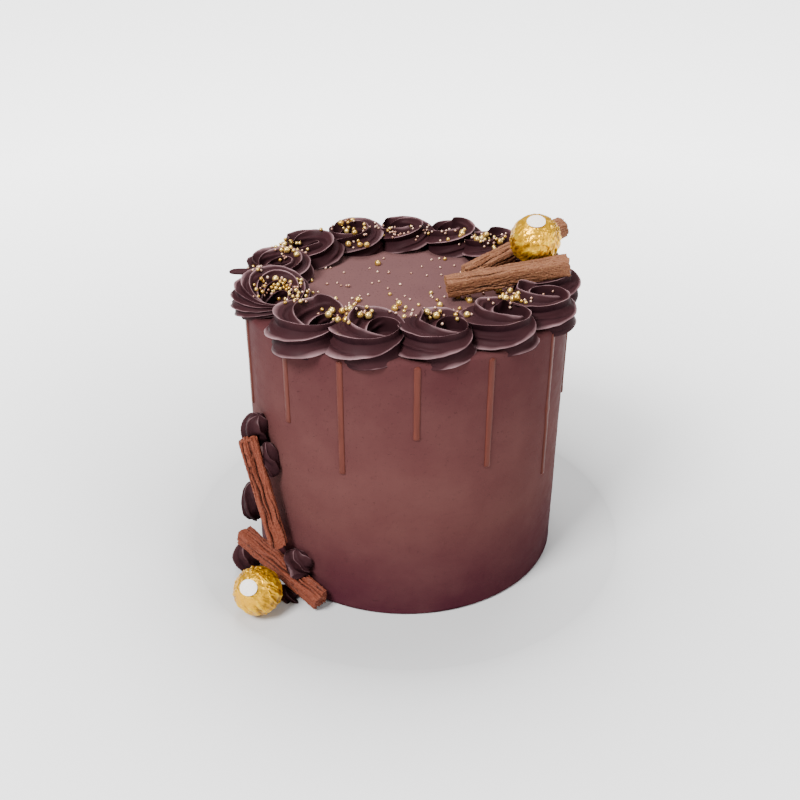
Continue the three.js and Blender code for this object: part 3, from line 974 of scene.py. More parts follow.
@dataclass(frozen=True)
class Rosette:
    """One swirl of frosting: a star nozzle moved once round a small circle.

    The rope's ridges keep to the nozzle, so each climbs slowly as the rope turns. The rope swells
    where it starts, on the side that laps over the rosette before, and thins towards the next one.
    """

    azimuth: float
    ring: float
    skirt: float
    crest: float = 5.0
    scale: float = 1.0
    petal: Petal | None = None
    tail: Tail | None = None
    path: tuple[float, float] = (12.0, 3.65)
    breadth: tuple[float, float] = (6.35, 4.0)
    tallness: tuple[float, float] = (9.7, 1.7)
    lead: float = 14.0
    rise: float = 3.5
    hole: float = 2.2
    ridges: int = 6
    threads: int = 2
    depth: float = 0.36
    flare: float = 2.6
    overhang: float = 20.0
    crease: float = 1.2
    crease_width: float = 0.16
    splay: float = 1.5
    softness: float = 0.5
    unevenness: float = 0.28
    samples: int = 24
    steps: int = 132
    seed: int = 0

    def twist(self) -> float:
        """How far a ridge climbs for each unit of turn."""
        return self.threads / self.ridges

    def swollen(self, turn: Array) -> Array:
        """Swelling of the rope at a turn, from 1 where it starts to -1 where it is thinnest."""
        return np.cos(turn + math.pi / 2 + math.radians(self.lead))

    def swung(self, sizes: tuple[float, float], turn: Array) -> Array:
        """A size at a turn, from its mean and how much it swings with the rope's swelling."""
        return self.scale * (sizes[0] + sizes[1] * self.swollen(turn))

    def sharpness(self, offset: Array) -> Array:
        """Height of the star's profile: a flared shelf above each ridge and a steep wall below it."""
        shelf = (1 - np.clip(offset, 0, 1)) ** self.flare
        wall = 1 - np.clip(-offset, 0, 1) ** 0.85
        return np.where(offset < 0, wall, shelf)

    def creases(self, offset: Array, turn: Array) -> Array:
        """Height of the lesser ridge above each sharp one. It runs down into it as the rope thins."""
        swell = np.clip(self.swollen(turn), 0, 1)
        place = 0.18 + 0.42 * swell
        across = np.clip(1 - np.abs(offset - place) / self.crease_width, 0, 1)
        return self.crease * eased(0.05, 0.7, swell) * across

    def lift(self, turn: Array, crest_angle: Array, sharpness: Array) -> Array:
        """How far the standing ridge rises at each point."""
        petal = self.petal
        if petal is None:
            return np.zeros(np.broadcast(turn, crest_angle).shape)
        past = wrapped(turn - math.radians(petal.turn))
        own = wrapped(crest_angle - math.radians(petal.climb) - self.twist() * past)
        chosen = np.abs(own) < math.pi / self.ridges
        rising = eased(-math.radians(petal.rise), 0, past)
        falling = 1 - eased(0, math.radians(petal.fall), past)
        return petal.height * chosen * rising * falling * sharpness**1.2

    def surface(self) -> tuple[Array, Array]:
        """Points and tone of the swirl before it meets its neighbours.

        Returns:
            Points in the cake's frame, of shape around the rope by along it by 3, and their tone.
        """
        offset = signed_power(np.linspace(-1, 1, self.samples, endpoint=False), 1.4)
        ridge_angle = full_turn(self.ridges)[:, None]
        half = math.pi / self.ridges
        overhang = math.radians(self.overhang) * 6 / self.ridges
        sample_angle = (ridge_angle + offset * half + overhang * np.abs(offset)).reshape(-1, 1)
        crest_angle = np.repeat(ridge_angle, self.samples, axis=1).reshape(-1, 1)
        offsets = np.tile(offset, self.ridges).reshape(-1, 1)
        sharpness = self.sharpness(offsets)
        turn = full_turn(self.steps)[None, :]
        shift = math.radians(self.crest) + self.twist() * turn
        climb = sample_angle + shift
        star = 1 - self.depth * (1 - sharpness)
        creases = self.creases(offsets, turn)
        up = self.lift(turn, crest_angle + shift, sharpness)
        lean = self.petal.lean if self.petal else 0.0
        # The lowest ridges are pressed against the cake, so they splay out and lie flatter.
        squashed = np.clip(-np.sin(climb), 0, 1) * (np.cos(climb) > 0)
        across = self.swung(self.breadth, turn) * star + creases + self.splay * squashed * sharpness
        upright = (self.swung(self.tallness, turn) * star + creases) * (1 - 0.05 * self.splay * squashed)
        radial = self.swung(self.path, turn) + across * np.cos(climb) - lean * up
        radial = at_least(radial, self.hole * (1.3 - 0.55 * sharpness), self.softness)
        height = self.rise + upright * np.sin(climb) + up
        points = self.placed(radial, turn, height)
        return points, self.tones(points, sharpness, radial)

    def placed(self, radial: Array, turn: Array, height: Array) -> Array:
        """Points in the cake's frame, with the small unevenness of hand piping."""
        outwards, onwards = level_axes(self.azimuth)
        flat = (radial * np.cos(turn))[..., None] * outwards + (radial * np.sin(turn))[..., None] * onwards
        points = polar(self.azimuth, self.ring, CAKE_HEIGHT) + flat + height[..., None] * UP
        uneven = np.stack([layered_field(points, 7.0, self.seed + axis, 2) for axis in (1, 11, 21)], -1)
        return points + self.unevenness * uneven

    def tones(self, points: Array, sharpness: Array, radial: Array) -> Array:
        """Value for the finish's painted light and shade: painted shade in the hole and underneath, painted
        light on upper faces and painted highlights on the ridges.
        """
        around = np.roll(points, -1, 0) - np.roll(points, 1, 0)
        # Painted shade in the hole and underneath, painted light on upper faces, and painted highlights along
        # the ridges that vary at random.
        upwards = eased(-0.45, 0.65, upward(np.gradient(points, axis=1), around))
        hole_shade_factor = 0.3 + 0.7 * (1 - bump(radial - self.hole, 2.2))
        ridge_highlight_strength = 0.72 + 0.5 * field(points, 5.0, self.seed + 41)
        patchy = 0.94 + 0.3 * field(points, 11.0, self.seed + 43)
        shelf = patchy * upwards * (0.52 + 0.48 * sharpness)
        return hole_shade_factor * (0.04 + 0.68 * shelf + 0.36 * ridge_highlight_strength * sharpness**6)

    def build(self, spaces: list[Space]) -> Shape:
        """Builds the swirl clear of what it meets.

        Args:
            spaces: Spaces of what is pressed into it.

        Returns:
            The swirl's shape.
        """
        points, tone = self.surface()
        lowest = CAKE_HEIGHT - self.skirt - 2
        points[..., 2] = at_least(points[..., 2], lowest, self.softness)
        points = kept_clear(points, spaces)
        rows, columns = points.shape[:2]
        faces = self.seamed_faces(rows, columns)
        shape = Shape(points.reshape(-1, 3), faces, tone.reshape(-1))
        return joined([shape, self.tail.build()]) if self.tail else shape

    def seamed_faces(self, rows: int, columns: int) -> list[list[int]]:
        """Quads of the swirl. After a full turn the rope meets its own start some ridges round."""
        faces = grid_faces(rows, columns, closed_rows=True).reshape(rows, columns, 4)
        shift = self.threads * self.samples
        last = faces[:, -1, :].copy()
        row = np.arange(rows)
        last[:, 1] = ((row + shift) % rows) * columns
        last[:, 2] = ((row + 1 + shift) % rows) * columns
        faces[:, -1, :] = last
        return faces.reshape(-1, 4).tolist()


def back_rosette(
    azimuth: float, ring: float, skirt: float, crest: float, petal: Petal, scale: float = 0.98
) -> Rosette:
    """A rosette of the back, whose ridges climb faster."""
    return Rosette(azimuth, ring, skirt, crest, scale, petal, threads=3)


@dataclass
class RosetteRing:
    """The ring of rosettes round the cake's top edge, from the front left and on by the right."""

    first_seed: int = 601
    rosettes: tuple[Rosette, ...] = (
        Rosette(-34, 77.4, 4.5, 17.8, 1.14, Petal(215, 95, 2.5, rise=90), splay=5),
        Rosette(-9.5, 74, 5, 3, 1.08, Petal(250, 85, 3, rise=40), splay=5),
        Rosette(17, 72.2, 4.5, 12, 1.06, Petal(250, 75, 3, rise=50), splay=5.8),
        Rosette(44.5, 73, 4.5, 12, 1.07, Petal(160, 110, 3, rise=40), splay=6.5),
        Rosette(69, 77.2, 4.5, 18, 1.05, Petal(200, 100, 2, rise=80), splay=3.5),
        replace(back_rosette(93, 77, 3, 40, Petal(180, 120, 2, rise=60), scale=1), splay=0),
        back_rosette(117, 76, 4, 1, Petal(230, 110, 2, rise=60)),
        back_rosette(140, 74, 1.5, 32, Petal(20, 100, 2, rise=70)),
        back_rosette(162, 75, 3.5, 53, Petal(340, 95, 2, rise=80)),
        back_rosette(186, 74.5, 2, 10, Petal(60, 100, 2, rise=70)),
        back_rosette(210, 75, 4, 37, Petal(310, 105, 2, rise=80), scale=1),
        back_rosette(235, 74.5, 2.5, 18, Petal(30, 110, 2, rise=60), scale=1),
        Rosette(
            262,
            75,
            2,
            crest=48,
            petal=Petal(100, 110, 2, rise=70),
            tail=Tail(267.5, 8),
            ridges=9,
            threads=3,
            depth=0.3,
            samples=16,
        ),
        Rosette(
            291.5,
            75,
            3,
            crest=25,
            scale=1.1,
            path=(12.0, 3.0),
            breadth=(6.5, 4.0),
            tallness=(8.0, 5.0),
            lead=5,
            ridges=12,
            threads=4,
            depth=0.26,
            samples=12,
        ),
    )

    def build(self, pressed: list[Space]) -> list[Shape]:
        """Builds each rosette with a seed of its own.

        Args:
            pressed: Spaces of what is pressed into the ring.

        Returns:
            A shape for each rosette.
        """
        numbered = enumerate(self.rosettes, self.first_seed)
        return [replace(rosette, seed=seed).build(pressed) for seed, rosette in numbered]

    def dress(self, shapes: list[Shape], material: Material) -> None:
        """Makes the pieces and gives them their finish."""
        for number, shape in enumerate(shapes, start=1):
            node = f"rosette_{number:02d}"
            dress(shape.to_object(f"piped_{node}"), material, Slot.DARK_FROSTING, node)


# ------------------------------------------------------------------ frosting at the side


@dataclass(frozen=True)
class Dollop:
    """A piped blob with twisted ridges that pinches to a soft tip."""

    node: str
    azimuth: float
    radius: float
    height: float
    size: Triple
    tilt: float
    ridges: int = 5
    depth: float = 0.3
    swirl: float = 0.9
    skew: float = 0.22
    roughness: float = 0.6
    rows: int = 72
    columns: int = 120
    seed: int = 0

    def build(self, spaces: list[Space]) -> Shape:
        """Builds the blob clear of what it glues down.

        Args:
            spaces: Spaces of its neighbours and of the cake.

        Returns:
            The blob's shape.
        """
        steepest = math.pi / 2 - 0.03
        climb = np.linspace(-steepest, steepest, self.rows)[:, None]
        angle = full_turn(self.columns)[None, :]
        level = np.sin(climb)
        offset = wrapped(self.ridges * (angle + self.swirl * level + 0.6 * self.seed)) / math.pi
        away = np.abs(offset)
        sharpness = np.where(offset < 0, 1 - away**0.85, (1 - away) ** 2.4)
        reach = np.cos(climb) ** 0.8 * (1 - self.depth * (1 - sharpness))
        twisted = angle + self.skew * sharpness
        height = np.broadcast_to(level * (1 + 0.08 * level), reach.shape)
        rings = np.stack([reach * np.cos(twisted), reach * np.sin(twisted), height], -1) * np.array(self.size)
        tilt = Matrix.Rotation(math.radians(self.tilt), 3, "Y")
        turn = Matrix.Rotation(math.radians(self.azimuth), 3, "Z") @ tilt
        points = rings @ np.array(turn).T + polar(self.azimuth, self.radius, self.height)
        rough = self.roughness * layered_field(points, 6.0, self.seed, 2)[..., None]
        points = kept_clear(points + rough, spaces)
        around = np.roll(points, -1, 1) - np.roll(points, 1, 1)
        upwards = eased(-0.5, 0.8, upward(around, np.gradient(points, axis=0)))
        # The tone paints light on upper faces and highlights on the ridges, leaving painted shade underneath.
        return lofted(points, 0.16 + 0.5 * upwards * (0.5 + 0.5 * sharpness) + 0.12 * sharpness**4)


@dataclass
class SideFrosting:
    """The frosting that glues the side decoration on."""

    dollops: tuple[Dollop, ...] = (
        Dollop("side_frosting_top", -60, 93, 91.5, (9.5, 8.5, 11), 18, seed=31),
        Dollop("side_frosting_strip", -51.5, 92, 80, (5.5, 6, 10), -14, seed=32),
        Dollop("side_frosting_middle", -67, 94.5, 38, (8, 8, 14), 10, seed=33),
        Dollop("side_frosting_left", -61.5, 103, 8, (9, 9.5, 9.5), 0, seed=34),
        Dollop("side_frosting_right", -39.8, 91.5, 21.5, (10.8, 6.5, 7.4), -12, seed=35),
        Dollop("side_frosting_foot", -42.5, 99.5, 1, (11, 5, 3.2), 0, seed=36),
    )

    def build(self, pressed: list[Space]) -> list[Shape]:
        """Builds each blob clear of the logs, the praline, the cake and the base."""
        return [dollop.build([*pressed, DrumSpace(), FloorSpace()]) for dollop in self.dollops]

    def dress(self, shapes: list[Shape], material: Material) -> None:
        """Makes the pieces and gives them their finish."""
        for dollop, shape in zip(self.dollops, shapes):
            dress(shape.to_object(f"piped_{dollop.node}"), material, Slot.DARK_FROSTING, dollop.node)


# ------------------------------------------------------------------ chocolate logs


@dataclass(frozen=True)
class FoldedLog:
    """A stick of milk chocolate folded up lengthwise from a thin sheet."""

    node: str
    start: Triple
    end: Triple
    seed: int
    width: float = 11.6
    folds: int = 13
    fold_depth: float = 1.05
    fine_folds: int = 44
    cracks: int = 16
    slimness: float = 0.89
    around: int = 168
    along: int = 190
    cap_rings: int = 12

    def length(self) -> float:
        """Distance between the end faces."""
        return float(np.linalg.norm(np.array(self.end) - np.array(self.start)))

    def space(self) -> RodSpace:
        """The space that frosting keeps out of."""
        return RodSpace(self.start, self.end, self.width / 2 * 1.08 + CLEARANCE)

    def section(self, angle: Array) -> Array:
        """Radius of the plain rounded square section at an angle."""
        square = (np.abs(np.cos(angle)) ** 5 + np.abs(np.sin(angle)) ** 5) ** 0.2
        return self.width / 2 * self.slimness / square

    def relief(self, angle: Array, along: Array) -> Array:
        """Height of the folded sheets' edges, clefts and crumbs over the plain section.

        Args:
            angle: Angle round the log.
            along: Distance along it.

        Returns:
            Height at each place.
        """
        level = 0 * along
        place = np.stack([7 * np.cos(angle) + level, 7 * np.sin(angle) + level, along / 5 + 0 * angle], -1)
        warp = layered_field(place, 4.0, self.seed, 3)
        strength = 0.6 + 0.7 * field(place, 5.0, self.seed + 7)
        phase = self.folds * angle / (2 * math.pi) + 1.7 * warp
        share = phase % 1.0
        sheet = share**0.7 * (1 - eased(0.8, 1.0, share))
        fine = 1 - zigzag(self.fine_folds * angle / (2 * math.pi) + 2.3 * warp)
        crumb = layered_field(place * [1, 1, 3.4], 0.9, self.seed + 31, 2)
        height = self.fold_depth * strength * (sheet - 0.75) + 0.16 * (fine - 1) + 0.16 * crumb
        return height - self.crack_depth(angle, along)

    def crack_depth(self, angle: Array, along: Array) -> Array:
        """Depth of the long clefts between sheets."""
        random = np.random.default_rng(self.seed)
        total = np.zeros(np.broadcast(angle, along).shape)
        for _ in range(self.cracks):
            where = random.uniform(-math.pi, math.pi)
            middle = random.uniform(0.1, 0.9) * self.length()
            half = random.uniform(5, 16)
            drift = random.uniform(-0.012, 0.012)
            width = random.uniform(0.05, 0.11)
            depth = random.uniform(0.9, 2.1)
            wander = where + drift * (along - middle) + 0.05 * np.sin(along / 2.3 + where)
            cleft = bump(wrapped(angle - wander), width) * bump(along - middle, half) ** 0.5
            total = np.maximum(total, depth * cleft)
        return total

    def build(self) -> Shape:
        """Builds the log with broken ends.

        Returns:
            The log's shape.
        """
        length = self.length()
        angle = full_turn(self.around)[None, :]
        inset = np.linspace(0.04, 1, self.cap_rings)[:-1]
        share = np.concatenate([inset, np.ones(self.along), inset[::-1]])[:, None]
        steps = np.linspace(0, length, self.along)
        along = np.concatenate([0 * inset, steps, 0 * inset + length])[:, None]
        relief = self.relief(angle, along)
        radius = (self.section(angle) + relief) * share
        flat = np.stack([radius * np.cos(angle), 0 * radius + along, radius * np.sin(angle)], -1)
        rolled = np.abs(field(flat * [1, 0, 1], 1.7, self.seed + 3)) ** 0.6
        broken = 1.5 * (rolled - 0.5) + 0.6 * field(flat * [1, 0, 1], 4.5, self.seed + 5)
        flat[..., 1] -= broken * (bump(along, 1.2) - bump(along - length, 1.2))
        # Painted highlights on the raised sheet edges and painted shade in the clefts; the broken ends are
        # paler where they are rolled out further.
        side_tone = np.clip(0.62 + 0.55 * relief / self.fold_depth, 0, 1)
        end_tone = np.clip(0.25 + 0.6 * rolled, 0, 1)
        return lofted(self.laid(flat), np.where(share < 1, end_tone, side_tone))

    def laid(self, flat: Array) -> Array:
        """Points turned from the Y axis on to the log's own axis."""
        start = np.array(self.start)
        direction = Vector(np.array(self.end) - start).normalized()
        turn = Vector((0, 1, 0)).rotation_difference(direction).to_matrix()
        return flat @ np.array(turn).T + start

    def dress(self, shape: Shape, material: Material) -> None:
        """Makes the piece and gives it its finish."""
        piece = shape.to_object(f"folded_{self.node}", sharp_angle=70)
        dress(piece, material, Slot.FOLDED_CHOCOLATE, self.node)


# ------------------------------------------------------------------ foil pralines


@dataclass(frozen=True)
class FoilPraline:
    """A round praline in crumpled foil, with a small blank sticker on it."""

    node: str
    centre: Triple
    radius: float
    sticker_azimuth: float
    sticker_elevation: float
    seed: int
    crease: float = 0.55
    pleat: float = 0.55
    broadest: float = 5.2
    finest: float = 1.2
    finer_by: float = 0.78
    steepness: float = 0.19
    sunk: float = 1.2
    detail: int = 7
    sticker_width: float = 10.0
    sticker_height: float = 8.8
    sticker_thickness: float = 0.28
    sticker_rings: int = 14
    sticker_columns: int = 64

    def space(self) -> BallSpace:
        """The space that frosting keeps out of."""
        return BallSpace(self.centre, self.radius + CLEARANCE)

    def facing(self) -> Array:
        """Direction that the sticker faces."""
        tilt = math.radians(self.sticker_elevation)
        flat = polar(self.sticker_azimuth, math.cos(tilt), 0)
        return flat + np.array([0, 0, math.sin(tilt)])

    def build(self) -> Shape:
        """Crumples the foil, smooth under the sticker and pleated away from it.

        Returns:
            The foil's shape.
        """
        directions, faces = ball(self.detail)
        facing = self.facing()
        turned = np.degrees(np.arccos(np.clip(directions @ facing, -1, 1)))
        crumpled = eased(16, 62, turned)
        place = directions * self.radius
        # Pulled lengthwise from the sticker, so that the facets there become long pleats.
        along = (directions @ facing)[:, None] * facing
        pulled = place - self.radius * (1 - self.pleat) * along
        height = self.facets(pulled) * (0.3 + 0.7 * crumpled)
        reach = self.radius + self.crease * (height - self.sunk)
        points = np.array(self.centre) + directions * reach[:, None]
        # Painted shade in the hollows and painted light on the peaks; the smooth foil round the sticker gets
        # a fixed bright tone.
        tone = np.clip(0.5 + 0.9 * height, 0, 1) * crumpled + 0.85 * (1 - crumpled)
        return Shape(points, faces, tone)

    def facets(self, place: Array) -> Array:
        """Height of folds that cross in all directions, so that flat facets meet in sharp creases."""
        random = np.random.default_rng(self.seed)
        height = np.zeros(len(place))
        spacing = self.broadest
        while spacing > self.finest:
            warp = field(place, 1.3 * spacing, self.seed + round(10 * spacing))
            bent = place + 0.55 * spacing * warp[:, None]
            phase = bent @ unit(random.normal(size=3)) / spacing + random.uniform()
            height += self.steepness * spacing * (zigzag(phase) - 0.5)
            spacing *= self.finer_by
        return height

    def build_sticker(self) -> Shape:
        """Builds the oval sticker, bent over the foil."""
        inwards = np.linspace(1, 0.05, self.sticker_rings)
        share = np.concatenate([inwards[::-1], inwards])[:, None]
        top = np.repeat([1.0, 0.0], self.sticker_rings)[:, None]
        angle = full_turn(self.sticker_columns)[None, :]
        across = share * self.sticker_width / 2 * np.cos(angle)
        up = share * self.sticker_height / 2 * np.sin(angle)
        seat = self.radius + CLEARANCE / 2
        bent = np.sqrt(seat**2 - across**2 - up**2) + self.sticker_thickness * top
        bent = bent + 0.14 * field(np.stack([across, up, 0 * across], -1), 3.5, self.seed)
        facing = self.facing()
        level = level_axes(self.sticker_azimuth)[1]
        steep = np.cross(facing, level)
        points = across[..., None] * level + up[..., None] * steep + bent[..., None] * facing
        return lofted(points + np.array(self.centre))

    def dress(self, foil: Shape, sticker: Shape, lacquered: Material, paper: Material) -> None:
        """Makes the two pieces and gives them their finishes."""
        label = f"{self.node}_sticker"
        dress(foil.to_object(f"foil_{self.node}", sharp_angle=32), lacquered, Slot.GOLD_FOIL, self.node)
        dress(sticker.to_object(f"blank_{label}", sharp_angle=50), paper, Slot.WHITE_STICKER, label)


# ------------------------------------------------------------------ sugar pearls


class PearlKind(Enum):
    """The three sizes of sugar pearl, named for their pieces."""

    LARGE_GOLD = "large_gold_pearls"
    MEDIUM_GOLD = "medium_gold_pearls"
    SMALL_CHAMPAGNE = "small_champagne_pearls"

    def radii(self) -> tuple[float, float]:
        """Smallest and largest radius."""
        kinds = PearlKind
        sizes = {
            kinds.LARGE_GOLD: (1.65, 1.95),
            kinds.MEDIUM_GOLD: (0.9, 1.2),
            kinds.SMALL_CHAMPAGNE: (0.66, 0.85),
        }
        return sizes[self]


@dataclass(frozen=True)
class Scatter:
    """Where a handful of pearls fell: its middle, its spread and how many of each size."""

    azimuth: float
    radius: float
    spread: float
    large: int
    medium: int
    small: int

    def counts(self) -> list[tuple[PearlKind, int]]:
        """Each size with its number, largest first."""
        return list(zip(PearlKind, (self.large, self.medium, self.small)))


@dataclass
class PearlScatter:
    """All the sugar pearls on the top."""

    seed: int = 77
    sunk: float = 0.35
    handfuls: tuple[Scatter, ...] = (
        Scatter(287, 71, 4.5, 1, 22, 10),
        Scatter(301, 68, 5, 0, 12, 8),
        Scatter(290, 77, 5, 0, 3, 4),
        Scatter(289, 60, 3.5, 0, 3, 3),
        Scatter(266, 82, 4, 0, 2, 7),
        Scatter(241, 84, 4.5, 2, 4, 5),
        Scatter(243, 75, 5.5, 2, 5, 4),
        Scatter(250, 74, 4, 0, 2, 4),
        Scatter(208.5, 86, 5.5, 3, 4, 4),
        Scatter(206, 72, 5, 1, 3, 5),
        Scatter(214, 58, 4, 1, 1, 1),
        Scatter(215, 50, 2, 1, 0, 1),
        Scatter(192, 65, 6.5, 0, 2, 12),
        Scatter(178, 67, 6.5, 0, 2, 12),
        Scatter(185, 60, 5, 0, 1, 4),
        Scatter(160, 72, 7, 0, 1, 6),
        Scatter(154, 67, 5, 1, 1, 3),
        Scatter(147, 70, 5, 1, 2, 3),
        Scatter(139.5, 73, 5, 2, 4, 4),
        Scatter(133, 74, 5, 1, 3, 3),
        Scatter(139, 66, 4, 1, 2, 3),
        Scatter(118, 74, 8, 0, 1, 2),
        Scatter(71, 76, 5, 0, 0, 3),
        Scatter(56, 60, 5, 3, 5, 5),
        Scatter(52, 64, 4, 1, 3, 3),
        Scatter(57, 70, 3, 1, 1, 2),
        Scatter(42, 45, 3, 2, 1, 2),
        Scatter(18, 54, 5, 3, 4, 5),
        Scatter(22, 63, 4, 1, 2, 2),
        Scatter(22, 37, 3, 0, 2, 3),
        Scatter(358, 54, 4.5, 2, 3, 3),
        Scatter(330.6, 60, 4.5, 5, 7, 4),
        Scatter(327.6, 66, 4, 2, 2, 3),
        Scatter(328, 47, 2, 1, 0, 2),
        Scatter(341, 60, 2.5, 1, 1, 2),
    )
    loose: Scatter = Scatter(0, 0, 56, 2, 7, 62)
    tries: int = 40
    aimed_above: float = 10.0
    hand: Triple = (0.0, -506.0, 370.0)
    loose_height: float = 260.0

    def placed(self, support: BVHTree, solid_ground: int) -> dict[PearlKind, list[Pearl]]:
        """Drops the pearls one by one on what lies below them.

        Args:
            support: Search tree of everything they may fall on.
            solid_ground: Faces numbered from here on belong to pieces that stay bare.

        Returns:
            Centre and radius of each pearl, by kind.
        """
        random = np.random.default_rng(self.seed)
        wanted: list[tuple[PearlKind, Scatter]] = []
        for handful in (*self.handfuls, self.loose):
            for kind, number in handful.counts():
                wanted.extend([(kind, handful)] * number)
        wanted.sort(key=lambda item: list(PearlKind).index(item[0]))
        pearls: dict[PearlKind, list[Pearl]] = {kind: [] for kind in PearlKind}
        taken: list[Pearl] = []
        for kind, handful in wanted:
            radius = random.uniform(*kind.radii())
            for _ in range(self.tries):
                centre = self.dropped(random, handful, radius, support, solid_ground)
                if centre is None:
                    continue
                centre = self.heaped(centre, radius, taken)
                if centre is not None:
                    taken.append((centre, radius))
                    pearls[kind].append((centre, radius))
                    break
        return pearls

    def heaped(self, centre: Array, radius: float, taken: list[Pearl]) -> Array | None:
        """The centre lifted on to the pearls it would touch, or None where the heap grows too high."""
        lifted = centre.copy()
        for other, size in sorted(taken, key=lambda pearl: pearl[0][2]):
            apart = 0.98 * (radius + size)
            if np.linalg.norm(lifted - other) < apart:
                aside = np.linalg.norm((lifted - other)[:2])
                lifted[2] = other[2] + math.sqrt(apart**2 - aside**2)
        return lifted if lifted[2] - centre[2] < 1.7 * radius else None

    def dropped(
        self, random: Generator, handful: Scatter, radius: float, support: BVHTree, solid_ground: int
    ) -> Array | None:
        """One pearl's centre, or None where it would miss or land on a bare piece."""
        if handful is self.loose:
            spot = polar(random.uniform(0, 360), handful.spread * math.sqrt(random.uniform(0, 1)), 0)
        else:
            strayed = np.append(random.normal(0, handful.spread, 2), 0)
            spot = polar(handful.azimuth, handful.radius, 0) + strayed
        spot[2] = CAKE_HEIGHT + self.aimed_above
        hand = Vector((*spot[:2], self.loose_height)) if handful is self.loose else Vector(self.hand)
        hit, normal, face, _ = support.ray_cast(hand, (Vector(spot) - hand).normalized())
        if hit is None or face >= solid_ground or hit.z < CAKE_HEIGHT - 1.5 or normal.z < -0.1:
            return None
        return np.array(hit) + np.array(normal) * radius * (1 - self.sunk)

    def build(self, pearls: list[Pearl], detail: int) -> Shape:
        """Builds all pearls of a kind as one shape of balls."""
        points, faces = ball(detail)
        return joined([Shape(centre + points * radius, faces) for centre, radius in pearls])

    def dress(self, pearls: dict[PearlKind, list[Pearl]]) -> None:
        """Makes the three pieces and gives each its lustre."""
        gold = SugarPearlCoat("tumbled_gold_sugar_pearl", "#b88a35", "#e9c776", 0.7, 0.27).make()
        champagne = SugarPearlCoat("tumbled_champagne_sugar_pearl", "#a97a66", "#dfb9a2", 0.6, 0.34).make()
        for kind, found in pearls.items():
            small = kind is PearlKind.SMALL_CHAMPAGNE
            piece = self.build(found, detail=2 if small else 3).to_object(kind.value)
            dress(piece, champagne if small else gold, Slot.SUGAR_PEARL)


# ------------------------------------------------------------------ studio


@dataclass(frozen=True)
class SoftBox:
    """A square soft light that faces a point on the cake."""

    name: str
    place: Triple
    size: float
    power: float
    colour: str = "#ffffff"

    def build(self, target: Vector) -> None:
        """Makes the light and turns it to its target, in metres."""
        light = bpy.data.lights.new(self.name, "AREA")
        light.size = self.size
        light.energy = self.power
        light.color = linear(self.colour)[:3]
        lamp = add_object(self.name, light)
        lamp.location = self.place
        lamp.rotation_euler = (target - Vector(self.place)).to_track_quat("-Z", "Y").to_euler()


@dataclass
class Studio:
    """Pale floor, soft lights and the camera."""

    distance: float = 0.5785
    elevation: float = 29.02
    aim_height: float = 0.089
    lens: float = 44.64
    roll: float = 0.38
    shift_x: float = -0.0074
    shift_y: float = -0.0071
    world_strength: float = 0.3
    floor_size: float = 14.0
    floor_gap: float = 0.05
    lights: tuple[SoftBox, ...] = (
        SoftBox("key_softbox", (-0.85, -0.95, 1.5), 0.6, 74),
        SoftBox("fill_softbox", (1.3, -0.9, 1.1), 0.7, 15),
        SoftBox("top_softbox", (0.1, 0.6, 1.7), 0.9, 36),
    )

    def build_camera(self) -> None:
        """Makes the camera and sets it as the scene's own."""
        data = bpy.data.cameras.new("camera")
        data.sensor_width = 36
        data.lens = self.lens
        data.shift_x = self.shift_x
        data.shift_y = self.shift_y
        data.clip_start = 0.01
        camera = add_object("camera", data)
        tilt = math.radians(self.elevation)
        place = Vector((0, -self.distance * math.cos(tilt), self.aim_height + self.distance * math.sin(tilt)))
        roll = Matrix.Rotation(math.radians(self.roll), 4, "Z")
        turn = Matrix.Rotation(math.radians(90) - tilt, 4, "X") @ roll
        camera.matrix_world = Matrix.Translation(place) @ turn
        bpy.context.scene.camera = camera

    def build_floor(self) -> None:
        """Makes the pale floor that runs back out of sight."""
        half = self.floor_size / 2 / MM
        outline = ((-half, -half), (half, -half), (half, half), (-half, half))
        corners = np.array([(*corner, -self.floor_gap) for corner in outline])
        floor = Shape(corners, [[0, 1, 2, 3]]).to_object("studio_floor")
        floor.data.materials.append(BackdropPaper().make())

    def build_lights(self) -> None:
        """Makes the soft boxes and the even light round them."""
        target = Vector((0, 0, self.aim_height))
        for light in self.lights:
            light.build(target)
        world = bpy.data.worlds.new("studio_air")
        world.use_nodes = True
        background = world.node_tree.nodes["Background"]
        background.inputs["Color"].default_value = linear("#fbfbfc")
        background.inputs["Strength"].default_value = self.world_strength
        bpy.context.scene.world = world


# ------------------------------------------------------------------ assembly


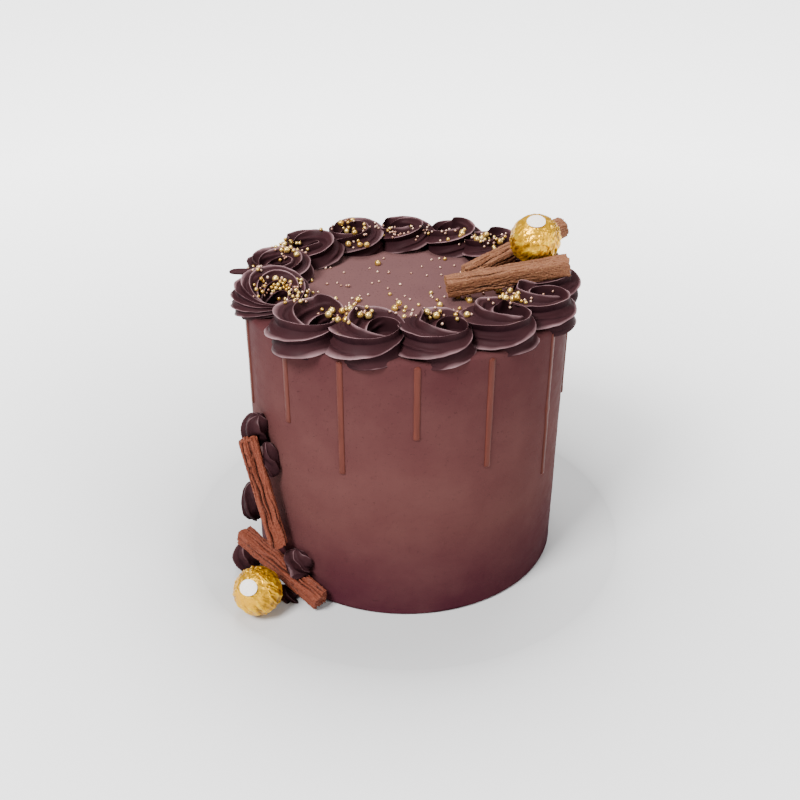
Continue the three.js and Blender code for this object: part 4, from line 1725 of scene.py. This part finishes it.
def log_set() -> tuple[FoldedLog, ...]:
    """The four chocolate logs."""
    return (
        FoldedLog("top_log_front", (21.7, -14.2, 162.9), (86, -8, 173.2), 11),
        FoldedLog("top_log_back", (33.5, 6, 161.2), (89.2, 39.4, 178), 12),
        FoldedLog("side_log_upright", (-69.6, -67.6, 31.5), (-84.1, -56, 92.2), 13),
        FoldedLog("side_log_lower", (-45.8, -85.2, 6.6), (-92.3, -49.2, 24.2), 14),
    )


def praline_set() -> tuple[FoilPraline, ...]:
    """The two pralines."""
    return (
        FoilPraline("top_praline", (69.9, 8.1, 181.7), 14.3, -9, 63, 21),
        FoilPraline("side_praline", (-79.8, -86.2, 14.2), 13.8, -20, 45, 22),
    )


def scatter_pearls(ground: list[Shape], bare: list[Shape]) -> None:
    """Drops the sugar pearls and makes their pieces.

    Args:
        ground: Shapes that pearls may lie on.
        bare: Shapes that stay free of pearls.
    """
    support = joined([*ground, *bare]).tree()
    scatter = PearlScatter()
    scatter.dress(scatter.placed(support, sum(len(shape.faces) for shape in ground)))


def main() -> None:
    """Builds and dresses every piece in order."""
    logging.basicConfig(level=logging.INFO, format="%(name)s: %(message)s", stream=sys.stdout)
    studio = Studio()
    studio.build_camera()
    body = CakeBody()
    body_shape = body.build()
    body.dress(body_shape)
    drips = DripSet()
    drips.dress(drips.build())
    logs = log_set()
    pralines = praline_set()
    pressed = [*(log.space() for log in logs), *(praline.space() for praline in pralines)]
    frosting = PipedButtercream().make()
    ring = RosetteRing()
    rosettes = ring.build(pressed)
    ring.dress(rosettes, frosting)
    side = SideFrosting()
    side.dress(side.build(pressed), frosting)
    # The side logs take a darker, redder copy of the finish: painted shade, as they get less light than the
    # top logs.
    top_log_finish = FoldedMilkChocolate().make()
    shaded_side_log_finish = FoldedMilkChocolate("folded_milk_chocolate_shaded_side_copy", "#30120c", "#68301f", "#8a5340").make()
    log_shapes = [log.build() for log in logs]
    for log, shape in zip(logs, log_shapes):
        log.dress(shape, top_log_finish if log.node.startswith("top") else shaded_side_log_finish)
    foil = CrumpledGoldFoil().make()
    paper = StickerPaper().make()
    foil_shapes = [praline.build() for praline in pralines]
    for praline, shape in zip(pralines, foil_shapes):
        praline.dress(shape, praline.build_sticker(), foil, paper)
    scatter_pearls([body_shape, *rosettes], [*log_shapes, *foil_shapes])
    studio.build_floor()
    studio.build_lights()


if __name__ == "__main__":
    main()
